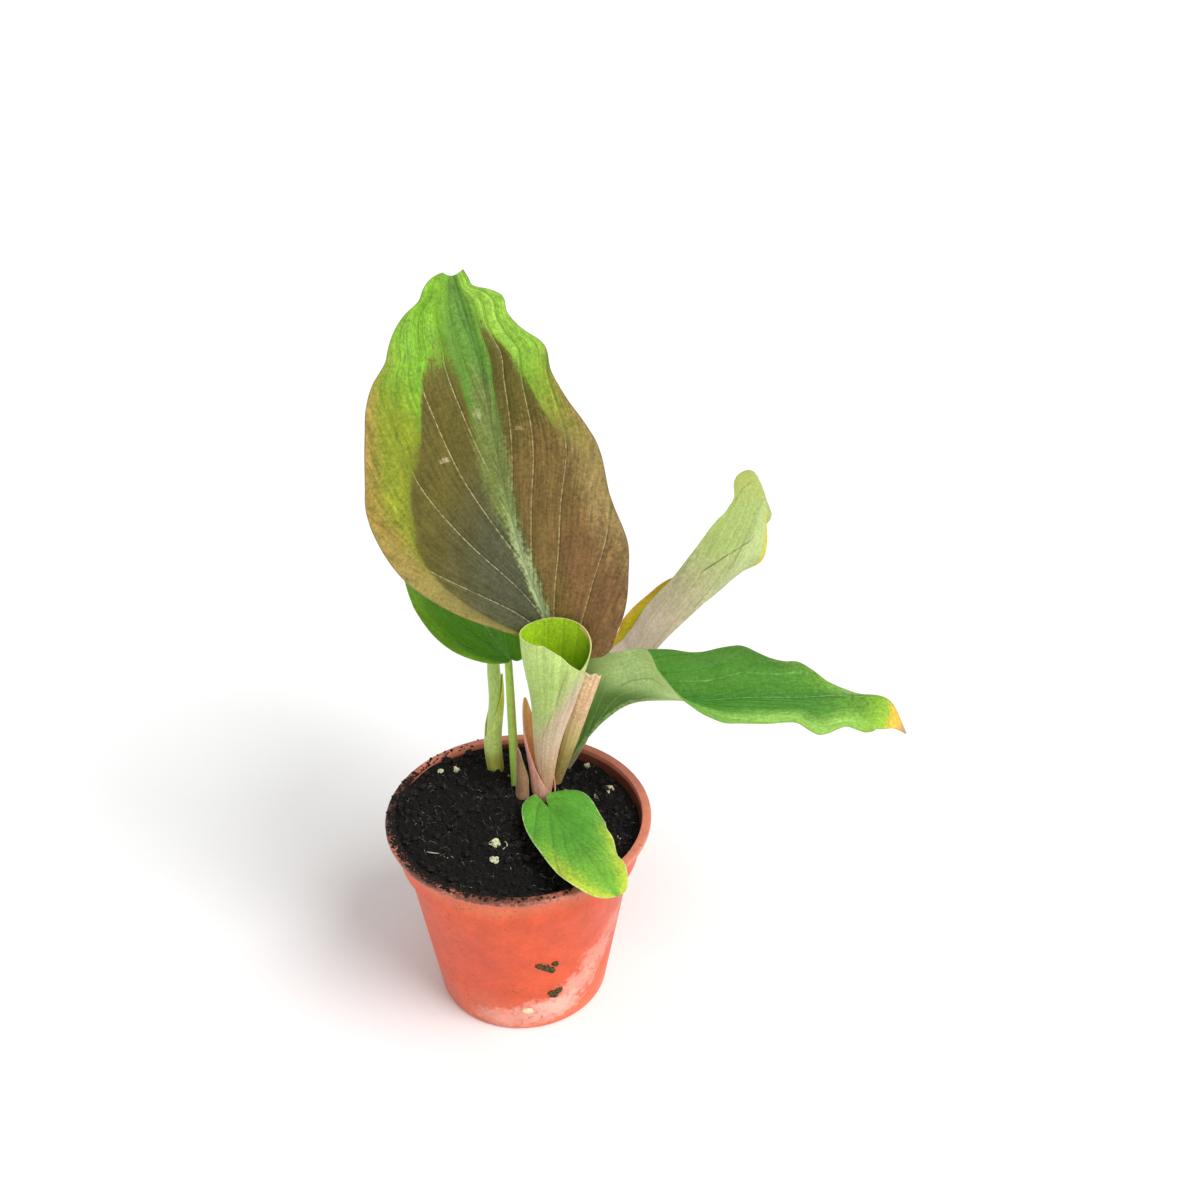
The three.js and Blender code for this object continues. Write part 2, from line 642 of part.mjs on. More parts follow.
// The soil before anything is set in it: it fills the pot up to an uneven surface.
function soilFill() {
  const flatTop = POT.height;
  const rim = innerRadius(flatTop) - GAP;
  const footRadius = innerRadius(SOIL.bottom) - GAP - POT.corner;
  const outline = [[0, SOIL.bottom], [footRadius, SOIL.bottom]];
  for (const z of [SOIL.bottom + POT.corner, POT.bodyTopHeight, POT.collarFootHeight]) {
    outline.push([innerRadius(z) - GAP, z]);
  }
  for (let k = SOIL.topRings; k >= 0; k -= 1) {
    outline.push([(rim * k) / SOIL.topRings, flatTop]);
  }
  const geometry = mergeVertices(bare(lathe(outline, SOIL.segments)));
  const position = geometry.getAttribute("position");
  for (let i = 0; i < position.count; i += 1) {
    if (position.getZ(i) < flatTop - 1) continue;
    const flat = new THREE.Vector2(position.getX(i), position.getY(i));
    const edge = flat.clone().setLength(rim);
    const edgeHeight = Math.min(soilHeight(edge.x, edge.y), POT.height - POT.lipDepth);
    flat.multiplyScalar((innerRadius(edgeHeight) - GAP) / rim);
    position.setXYZ(i, flat.x, flat.y, soilHeight(flat.x, flat.y));
  }
  return geometry;
}

// The grids of the sheets that stand in the soil.
function socketGrids() {
  const leaves = [RIGHT_LEAF, UPPER_LEAF].map((leaf) => bladeGrid(leaf));
  const rolls = [OUTER_SHEATH, DRIED_SHEATH, SHOOT_SCALE].map((roll) => rollGrid(roll, 6, 10));
  return [...leaves, ...rolls];
}

// A socket round the part of a sheet below the blades: the hull of its points, each grown to leave
// a clearance.
function socketGeometry(grid) {
  const offsets = new THREE.OctahedronGeometry(SOCKET_REACH, 0).getAttribute("position");
  const points = [];
  for (const point of grid.flat().filter(({ z }) => z < SOCKET_TOP)) {
    for (let k = 0; k < offsets.count; k += 1) {
      points.push(new THREE.Vector3().fromBufferAttribute(offsets, k).add(point));
    }
  }
  return new ConvexGeometry(points);
}

function crumbHeight(x, y, radii) {
  return soilHeight(x, y) + 0.25 * radii[2];
}

function rhizomeGeometry(growth = 0) {
  const lumps = RHIZOME_LUMPS.map(({ centre, radii }) =>
    toSolid(ellipsoidGeometry(centre, radii.map((r) => r + growth))),
  );
  return toGeometry(lumps.reduce((joined, lump) => joined.add(lump)));
}

// A storage root from just outside its lump; grown, it reaches back into the lump's cavity.
function storageRootGeometry({ lump, route }, growth = 0) {
  const centre = new THREE.Vector3(...RHIZOME_LUMPS[lump].centre);
  const radii = new THREE.Vector3(...RHIZOME_LUMPS[lump].radii);
  const away = new THREE.Vector3(...route[0]).sub(centre);
  const reach = away.length() / away.clone().divide(radii).length() + 2 * GAP - 2 * growth;
  const start = away.clone().setLength(reach).add(centre);
  const radius = ROOT_RADII.map((r) => r + growth);
  return stemGeometry({ path: [start.toArray(), ...route], radius }, 8, 5);
}

function pieceOf(name, geometry, colour, roughness) {
  geometry.computeVertexNormals();
  const material = new THREE.MeshStandardMaterial({ color: colour, roughness, metalness: 0 });
  const mesh = new THREE.Mesh(geometry, material);
  mesh.name = name;
  return mesh;
}

function buildPlant() {
  const plant = new THREE.Group();
  plant.name = "plant";
  const blades = {
    main_leaf_blade: [MAIN_BLADE, COLOURS.bronze],
    rear_leaf_blade: [REAR_BLADE, COLOURS.deepGreen],
    small_leaf_blade: [SMALL_BLADE, COLOURS.green],
    right_leaf: [RIGHT_LEAF, COLOURS.green],
    upper_leaf: [UPPER_LEAF, COLOURS.pinkGreen],
  };
  for (const [name, [blade, colour]] of Object.entries(blades)) {
    plant.add(pieceOf(name, sheetGeometry(bladeGrid(blade), BLADE), colour, 0.55));
  }
  const rolls = {
    rolled_leaf: [ROLLED_LEAF, BLADE, 8, 22, COLOURS.paleGreen],
    outer_sheath: [OUTER_SHEATH, SHEATH, 5, 16, COLOURS.pink],
    inner_sheath: [INNER_SHEATH, SHEATH, 5, 8, COLOURS.tan],
    dried_sheath: [DRIED_SHEATH, SHEATH, 4, 8, COLOURS.paper],
    shoot_scale: [SHOOT_SCALE, SHEATH, 4, 12, COLOURS.paleGreen],
  };
  for (const [name, [roll, thickness, rows, columns, colour]] of Object.entries(rolls)) {
    plant.add(pieceOf(name, sheetGeometry(rollGrid(roll, rows, columns), thickness), colour, 0.6));
  }
  for (const [name, stem] of Object.entries(STEMS)) {
    plant.add(pieceOf(name, stemGeometry(stem), stem.colour, 0.5));
  }
  return plant;
}

function buildRoots() {
  const roots = new THREE.Group();
  roots.name = "roots";
  roots.add(pieceOf("rhizome", rhizomeGeometry(), COLOURS.rhizome, 0.85));
  STORAGE_ROOTS.forEach((root, k) => {
    roots.add(pieceOf(`storage_root_${k + 1}`, storageRootGeometry(root), COLOURS.root, 0.8));
  });
  return roots;
}

// Loose bits, each placed on the soil at its own spot.
function buildCrumbs() {
  const crumbs = new THREE.Group();
  crumbs.name = "loose_bits";
  const scatter = (list, label, colour) =>
    list.forEach(({ x, y, radii }, k) => {
      const crumb = pieceOf(`${label}_${k + 1}`, crumbGeometry(radii, x), colour, 0.9);
      crumb.position.set(x, y, crumbHeight(x, y, radii));
      crumb.rotation.z = x;
      crumbs.add(crumb);
    });
  scatter(PERLITE, "perlite", COLOURS.perlite);
  scatter(GRANULES, "granule", COLOURS.granule);
  return crumbs;
}

function buildRootlets() {
  const rootlets = new THREE.Group();
  rootlets.name = "rootlets";
  ROOTLETS.forEach((route, k) => {
    const path = route.map(([x, y, above]) => [x, y, soilHeight(x, y) + above]);
    const radius = [ROOTLET_RADIUS, ROOTLET_RADIUS];
    const geometry = stemGeometry({ path, radius }, 5, 1.2);
    rootlets.add(pieceOf(`rootlet_${k + 1}`, geometry, COLOURS.fibre, 0.9));
  });
  return rootlets;
}

// The soil with a cavity for the rhizome and roots, sockets for the stems and sheaths, and pits for
// the crumbs.
function buildSoil() {
  const cavities = [rhizomeGeometry(CAVITY_GROWTH)];
  for (const root of STORAGE_ROOTS) cavities.push(storageRootGeometry(root, CAVITY_GROWTH));
  for (const { path, radius } of Object.values(STEMS)) {
    const [foot, ...rest] = path;
    const deeper = [foot[0], foot[1], foot[2] - CAVITY_GROWTH];
    const grown = radius.map((r) => r + CAVITY_GROWTH);
    cavities.push(stemGeometry({ path: [deeper, ...rest], radius: grown }));
  }
  for (const grid of socketGrids()) cavities.push(socketGeometry(grid));
  for (const { x, y, radii } of [...PERLITE, ...GRANULES]) {
    const grown = radii.map((r) => (1 + CRUMB_SWELL) * r + CAVITY_GROWTH);
    const pit = ellipsoidGeometry([0, 0, 0], grown, 8, 6);
    pit.rotateZ(x);
    pit.translate(x, y, crumbHeight(x, y, radii));
    cavities.push(pit);
  }
  return pieceOf("soil", cutOut(soilFill(), cavities), COLOURS.soil, 0.95);
}

const pottedGinger = new THREE.Group();
pottedGinger.name = "potted_peacock_ginger";
pottedGinger.add(pieceOf("pot", potGeometry(), COLOURS.terracotta, 0.6), buildSoil());
pottedGinger.add(buildRoots(), buildPlant(), buildCrumbs(), buildRootlets());

export default pottedGinger;
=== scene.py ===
"""Looks of a young peacock ginger in a small nursery pot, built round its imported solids.

Shapes are given in millimetres in the part's own frame and go to metres in one place, where a mesh
gets its points. A blade or a sheath is one even sheet laid on a grid: q runs across it and s along it,
and each field that a finish reads is kept on the mesh as an attribute.
"""
import logging
import math
import random
from collections.abc import Callable, Iterable, Iterator, Sequence
from dataclasses import dataclass
from enum import Enum
from functools import partial

import bpy
import numpy as np
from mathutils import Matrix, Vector, noise


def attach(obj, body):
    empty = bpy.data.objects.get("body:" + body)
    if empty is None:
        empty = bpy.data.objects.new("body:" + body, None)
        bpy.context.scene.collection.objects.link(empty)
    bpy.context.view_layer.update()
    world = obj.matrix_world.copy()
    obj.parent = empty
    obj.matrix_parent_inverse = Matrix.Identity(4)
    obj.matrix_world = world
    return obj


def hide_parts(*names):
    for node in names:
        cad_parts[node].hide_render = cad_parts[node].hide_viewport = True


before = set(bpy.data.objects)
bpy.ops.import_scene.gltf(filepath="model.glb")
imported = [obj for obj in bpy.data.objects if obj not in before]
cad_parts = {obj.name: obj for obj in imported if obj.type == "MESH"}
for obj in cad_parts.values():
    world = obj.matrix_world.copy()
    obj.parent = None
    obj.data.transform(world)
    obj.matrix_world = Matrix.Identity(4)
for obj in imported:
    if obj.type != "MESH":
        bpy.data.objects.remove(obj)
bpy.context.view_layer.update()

MM = 0.001
SEED = 7
BODY = "root"
FLESH_STEPS = 60
VEINS_BELOW = 20
SHARP_DEGREES = 35
KEEL_STEPS = 60
RIB_STEPS = 600
LOG = logging.getLogger("peacock_ginger")

Array = np.ndarray
Point = tuple[float, float, float]
Row = tuple[float, float, float, float]
Grain = tuple[float, float, Point]
Knots = Sequence[tuple[float, float]]
Field = Callable[[Array, Array], Array]
Piece = bpy.types.Object
Node = bpy.types.Node
Socket = bpy.types.NodeSocket
Maker = Callable[..., Node | Socket]
Spot = tuple[Point, Point, float]


def linear(colour: str) -> tuple[float, float, float, float]:
    """Turns a colour to what a shader reads.

    Args:
        colour: sRGB as hex, such as "c4573d".

    Returns:
        Linear red, green, blue and an alpha of 1.
    """
    parts = [int(colour[k : k + 2], 16) / 255 for k in (0, 2, 4)]
    made = [c / 12.92 if c <= 0.04045 else ((c + 0.055) / 1.055) ** 2.4 for c in parts]
    return (made[0], made[1], made[2], 1.0)


def add_node(
    tree: bpy.types.NodeTree,
    kind: str,
    inputs: dict | None = None,
    out: str | int | None = None,
    **settings: object,
) -> Node | Socket:
    """Adds a node with its settings and links.

    Args:
        tree: the material's node tree.
        kind: the node's type name after "ShaderNode".
        inputs: for each input's name or number, a value, a socket, or a node whose first output in
            use is meant.
        out: which output to return in place of the node.
        settings: the node's own properties.

    Returns:
        The new node or its output.
    """
    made = tree.nodes.new("ShaderNode" + kind)
    for key, value in settings.items():
        setattr(made, key, value)
    for key, value in (inputs or {}).items():
        if isinstance(value, Node):
            value = next(socket for socket in value.outputs if socket.enabled)
        if isinstance(value, Socket):
            tree.links.new(value, made.inputs[key])
        else:
            made.inputs[key].default_value = value
    return made if out is None else made.outputs[out]


def smooth_step(low: float, high: float, x: Array) -> Array:
    """Rises smoothly from 0 at low to 1 at high."""
    f = np.clip((x - low) / (high - low), 0, 1)
    return f * f * (3 - 2 * f)


def curve_through(points: Array, t: Array) -> Array:
    """Points on an even Catmull-Rom curve.

    Args:
        points: the points the curve passes through, one a row.
        t: shares of the way, from 0 to 1.

    Returns:
        One point for each share.
    """
    ends = np.vstack([2 * points[0] - points[1], points, 2 * points[-1] - points[-2]])
    place = np.clip(np.asarray(t, float), 0, 1) * (len(points) - 1)
    k = np.clip(place.astype(int), 0, len(points) - 2)
    f = (place - k)[:, None]
    a, b, c, d = ends[k], ends[k + 1], ends[k + 2], ends[k + 3]
    bend = (2 * a - 5 * b + 4 * c - d) * f + (3 * (b - c) + d - a) * f * f
    return b + 0.5 * f * (c - a + bend)


def values_along(values: Sequence[float], t: Array) -> Array:
    """Values on an even curve through equally spaced ones."""
    return curve_through(np.array(values, float)[:, None], t)[:, 0]


def profile(knots: Knots, s: Array) -> Array:
    """Values along a leaf from its knots, rounded off at the base and the tip.

    Args:
        knots: pairs of a share of the length and the value there.
        s: shares of the length.

    Returns:
        The value at each share.
    """
    share, value = np.array(knots, float).T
    at = np.arccos(1 - 2 * share) / math.pi
    u = np.arccos(np.clip(1 - 2 * s, -1, 1)) / math.pi
    step = np.diff(at)
    slope = np.diff(value) / step
    tangent = np.concatenate([slope[:1], slope])
    inner = slope[1:] * step[:-1] + slope[:-1] * step[1:]
    tangent[1:-1] = inner / (step[1:] + step[:-1])
    k = np.clip(np.searchsorted(at, u, side="right") - 1, 0, len(at) - 2)
    f = np.clip((u - at[k]) / step[k], 0, 1)
    near = (1 + 2 * f) * (1 - f) ** 2 * value[k] + f * (1 - f) ** 2 * step[k] * tangent[k]
    far = f * f * (3 - 2 * f) * value[k + 1] + f * f * (f - 1) * step[k] * tangent[k + 1]
    return near + far


def unit(rows: Array) -> Array:
    """The rows at length 1."""
    return rows / np.maximum(np.linalg.norm(rows, axis=-1, keepdims=True), 1e-9)


def below(knots: Knots) -> Field:
    """A field that is positive nearer the base than a line given as s over q."""
    over, along = np.array(knots, float).T
    return lambda q, s: np.interp(q, over, along) - s


def above(knots: Knots) -> Field:
    """A field that is positive nearer the tip than a line given as s over q."""
    return lambda q, s: -below(knots)(q, s)


def beyond(knots: Knots) -> Field:
    """A field that is positive nearer the margin than a width given as |q| over s."""
    along, across = np.array(knots, float).T
    return lambda q, s: np.abs(q) - np.interp(s, along, across)


def within(knots: Knots) -> Field:
    """A field that is positive nearer the midrib than a width given as |q| over s."""
    return lambda q, s: -beyond(knots)(q, s)


def beside(left: float, right: float) -> Field:
    """A field that is positive between two places across the leaf."""
    return lambda q, s: (right - left) / 2 - np.abs(q - (left + right) / 2)


def line(knots: Knots, half: float) -> Field:
    """A field that is positive close to a line given as q over s, half wide on each side."""
    along, across = np.array(knots, float).T
    return lambda q, s: half - np.abs(q - np.interp(s, along, across))


def reach(low: float, high: float) -> Field:
    """A field that is positive between two shares of the length."""
    return lambda q, s: (high - low) / 2 - np.abs(s - (low + high) / 2)


def both(one: Field, other: Field) -> Field:
    """A field that is positive where two others are."""
    return lambda q, s: np.minimum(one(q, s), other(q, s))


def patch(q0: float, s0: float, half_q: float, half_s: float) -> Field:
    """A field that is positive inside an oval round (q0, s0)."""
    return lambda q, s: 1 - np.hypot((q - q0) / half_q, (s - s0) / half_s)


class Shading(Enum):
    """How a finished mesh takes the light."""

    SMOOTH = "smooth"
    BY_ANGLE = "by_angle"
    FLAT = "flat"


class Bench:
    """The steps that a maker repeats on every piece, each done with Blender's own operators."""

    @staticmethod
    def clear() -> None:
        """Leaves nothing selected, in object mode."""
        if bpy.context.mode != "OBJECT":
            bpy.ops.object.mode_set(mode="OBJECT")
        bpy.ops.object.select_all(action="DESELECT")

    @staticmethod
    def take(piece: Piece) -> None:
        """Makes a piece the only one selected, and the active one.

        Args:
            piece: the piece.
        """
        Bench.clear()
        piece.select_set(True)
        bpy.context.view_layer.objects.active = piece

    @staticmethod
    def name(name: str) -> Piece:
        """Names the piece that the last operator made, and its mesh.

        Args:
            name: the name.

        Returns:
            The piece.
        """
        piece = bpy.context.active_object
        piece.name = name
        piece.data.name = name
        return piece

    @staticmethod
    def modify(piece: Piece, kind: str, **settings: object) -> None:
        """Adds a modifier with its settings and applies it.

        Args:
            piece: the piece.
            kind: the modifier's type.
            settings: its own properties.
        """
        Bench.take(piece)
        bpy.ops.object.modifier_add(type=kind)
        modifier = piece.modifiers[-1]
        for key, value in settings.items():
            setattr(modifier, key, value)
        bpy.ops.object.modifier_apply(modifier=modifier.name)

    @staticmethod
    def settle(piece: Piece, shading: Shading = Shading.SMOOTH) -> Piece:
        """Puts a piece's place into its mesh and sets how it takes the light.

        Args:
            piece: the piece.
            shading: how it takes the light.

        Returns:
            The piece.
        """
        Bench.take(piece)
        bpy.ops.object.transform_apply(location=True, rotation=True, scale=True)
        if shading is Shading.SMOOTH:
            bpy.ops.object.shade_smooth()
        elif shading is Shading.BY_ANGLE:
            bpy.ops.object.shade_smooth_by_angle(angle=math.radians(SHARP_DEGREES))
        else:
            bpy.ops.object.shade_flat()
        return piece

    @staticmethod
    def place(piece: Piece, points: Array) -> None:
        """Moves a mesh's vertices to points in millimetres."""
        piece.data.vertices.foreach_set("co", (points.reshape(-1) * MM).astype(np.float32))
        piece.data.update()

    @staticmethod
    def points(piece: Piece) -> Array:
        """A mesh's vertices in millimetres, one a row.

        Args:
            piece: the piece.

        Returns:
            The points.
        """
        co = np.zeros(len(piece.data.vertices) * 3, np.float32)
        piece.data.vertices.foreach_get("co", co)
        return co.reshape(-1, 3) / MM

    @staticmethod
    def keep(piece: Piece, fields: dict[str, Array]) -> None:
        """Keeps numbers on a mesh's vertices for its finish to read.

        Args:
            piece: the piece.
            fields: one number for each vertex, under each name.
        """
        for label, values in fields.items():
            made = piece.data.attributes.new(label, "FLOAT", "POINT")
            made.data.foreach_set("value", values.reshape(-1).astype(np.float32))

    @staticmethod
    def sheet(name: str, grid: Array, fields: dict[str, Array], thickness: Array) -> Piece:
        """A leaf-like sheet with two faces.

        Args:
            name: the piece's name.
            grid: points in millimetres, as rows along the sheet of columns across it.
            fields: numbers for each point of the grid.
            thickness: millimetres between the two faces at each point.

        Returns:
            The piece. Its second material slot is for the face turned away from across x along.
        """
        Bench.clear()
        rows, columns = grid.shape[0] - 1, grid.shape[1] - 1
        bpy.ops.mesh.primitive_grid_add(x_subdivisions=columns, y_subdivisions=rows, size=1)
        piece = Bench.name(name)
        Bench.place(piece, grid)
        Bench.keep(piece, fields)
        for _ in range(2):
            piece.data.materials.append(None)
        most = float(thickness.max())
        flesh = piece.vertex_groups.new(name="flesh")
        steps = np.round(thickness.reshape(-1) / most * FLESH_STEPS).astype(int)
        for step in np.unique(steps):
            flesh.add(np.flatnonzero(steps == step).tolist(), step / FLESH_STEPS, "REPLACE")
        body = {"thickness": most * MM, "offset": 0, "material_offset": 1}
        Bench.modify(piece, "SOLIDIFY", vertex_group="flesh", **body)
        return Bench.settle(piece, Shading.BY_ANGLE)

    @staticmethod
    def tubes(
        name: str,
        routes: Iterable[tuple[Array, Array]],
        resolution: int = 5,
        shading: Shading = Shading.BY_ANGLE,
    ) -> Piece:
        """Round bodies along routes, in one mesh.

        Args:
            name: the piece's name.
            routes: for each body its points and its radius at each of them, in millimetres.
            resolution: how finely it is rounded.
            shading: how it takes the light.

        Returns:
            The piece.
        """
        Bench.clear()
        bpy.ops.curve.primitive_nurbs_path_add()
        curve = Bench.name(name).data
        curve.splines.clear()
        for path, radii in routes:
            run = curve.splines.new("POLY")
            run.points.add(len(path) - 1)
            for point, place, radius in zip(run.points, path, radii):
                point.co = (*(c * MM for c in place), 1)
                point.radius = radius * MM
        curve.bevel_depth = 1
        curve.bevel_resolution = resolution
        curve.use_fill_caps = True
        bpy.ops.object.convert(target="MESH")
        return Bench.settle(bpy.context.active_object, shading)

    @staticmethod
    def turned(name: str, outline: Sequence[tuple[float, float]], sides: int) -> Piece:
        """A turned body, closed at both ends of its outline.

        Args:
            name: the piece's name.
            outline: radius and height in millimetres, from one end to the other.
            sides: how many faces go round.

        Returns:
            The piece, with its faces outwards.
        """
        Bench.clear()
        radius, height = outline[0]
        bpy.ops.mesh.primitive_circle_add(
            vertices=sides, radius=radius * MM, fill_type="NGON", location=(0, 0, height * MM)
        )
        piece = Bench.name(name)
        bpy.ops.object.transform_apply(location=True)
        bpy.ops.object.mode_set(mode="EDIT")
        bpy.ops.mesh.select_all(action="SELECT")
        for next_radius, next_height in outline[1:]:
            rise = (0, 0, (next_height - height) * MM)
            bpy.ops.mesh.extrude_region_move(TRANSFORM_OT_translate={"value": rise})
            grow = next_radius / radius
            bpy.ops.transform.resize(
                value=(grow, grow, 1), center_override=(0, 0, next_height * MM)
            )
            radius, height = next_radius, next_height
        bpy.ops.mesh.select_all(action="SELECT")
        bpy.ops.mesh.normals_make_consistent(inside=False)
        bpy.ops.object.mode_set(mode="OBJECT")
        return piece

    @staticmethod
    def lump(name: str, level: int, swell: float, grain: float, seed: float) -> Piece:
        """A knobbly lump of radius 1 mm.

        Args:
            name: the piece's name.
            level: how finely the sphere it starts from is divided.
            swell: how far its surface moves out and in, in millimetres.
            grain: the size of its knobs in millimetres.
            seed: which lump of many it is.

        Returns:
            The piece.
        """
        Bench.clear()
        bpy.ops.mesh.primitive_ico_sphere_add(subdivisions=level, radius=MM)
        piece = Bench.name(name)
        ball = Bench.points(piece)
        rough = [1 + swell * noise.noise(Vector(p) / grain + Vector((seed, 0, seed))) for p in ball]
        Bench.place(piece, ball * np.array(rough)[:, None])
        return piece

    @staticmethod
    def strewn(
        name: str, bases: Sequence[Piece], spots: Iterable[Spot], shading: Shading=Shading.SMOOTH
    ) -> Piece:
        """Many small copies of a few base pieces, in one mesh. The bases are used up.

        Args:
            name: the new piece's name.
            bases: what is copied, each about 1 mm in radius.
            spots: for each copy its place, its half sizes and its turn, in millimetres and radians.
            shading: how it takes the light.

        Returns:
            The new piece.
        """
        shapes = []
        for base in bases:
            corners = np.zeros(len(base.data.polygons) * 3, np.int32)
            base.data.polygons.foreach_get("vertices", corners)
            shapes.append((Bench.points(base), corners.reshape(-1, 3)))
        points, faces, count = [], [], 0
        for k, (place, sizes, turn) in enumerate(spots):
            shape, corners = shapes[k % len(shapes)]
            c, s = math.cos(turn), math.sin(turn)
            spin = np.array([[c, s, 0], [-s, c, 0], [0, 0, 1]])
            points.append((shape * np.array(sizes)) @ spin + np.array(place))
            faces.append(corners + count)
            count += len(shape)
        Bench.clear()
        bpy.ops.mesh.primitive_plane_add(size=MM)
        piece = Bench.name(name)
        piece.data.clear_geometry()
        piece.data.from_pydata(np.vstack(points) * MM, [], np.vstack(faces).tolist())
        for base in bases:
            bpy.data.objects.remove(base)
        return Bench.settle(piece, shading)

    @staticmethod
    def dress(piece: Piece, slot: str, finishes: Sequence["Finish"], nodes: Sequence[str]=()) -> Piece:
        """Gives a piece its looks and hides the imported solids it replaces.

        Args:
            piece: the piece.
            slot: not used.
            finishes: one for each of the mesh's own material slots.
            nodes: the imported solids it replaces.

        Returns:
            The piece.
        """
        slots = piece.data.materials
        for k, finish in enumerate(finishes):
            if k == len(slots):
                slots.append(None)
            slots[k] = finish.material()
        if nodes:
            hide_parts(*nodes)
        return piece


class Finish:
    """A procedural material: each kind paints its own pattern, and this makes the material of it."""

    name: str

    def paint(self, node: Maker, spot: Socket) -> dict[str | int, object]:
        """Adds the pattern's nodes.

        Args:
            node: adds a node to the material's tree.
            spot: object coordinates.

        Returns:
            What goes into the shader's inputs.
        """
        raise NotImplementedError

    def material(self) -> bpy.types.Material:
        """The finish as a material on object coordinates and on the fields kept on a mesh.

        Returns:
            The material.
        """
        made = bpy.data.materials.new(self.name)
        made.use_nodes = True
        made.node_tree.nodes.clear()
        node = partial(add_node, made.node_tree)
        shader = node("BsdfPrincipled", self.paint(node, node("TexCoord", out="Object")))
        node("OutputMaterial", {0: shader})
        return made

    @staticmethod
    def shade(node: Maker, colour: object, pattern: Node, depth: float) -> Node:
        """Lightens and darkens a colour by a noise about 0.5, as deep as depth, from 0 to 1."""
        value = node("MapRange", {0: pattern, 1: 0.3, 2: 0.7, 3: 1 - depth, 4: 1 + depth})
        return node("HueSaturation", {"Color": colour, "Value": value})


@dataclass(frozen=True)
class Wash:
    """A colour laid over what is below it, where the field kept under its zone's name is positive.

    soft is how wide its edge fades, ragged how far the edge wanders, both in the field's own unit.
    """

    colour: str
    zone: str
    soft: float = 0.06
    ragged: float = 0.08
    strength: float = 1.0


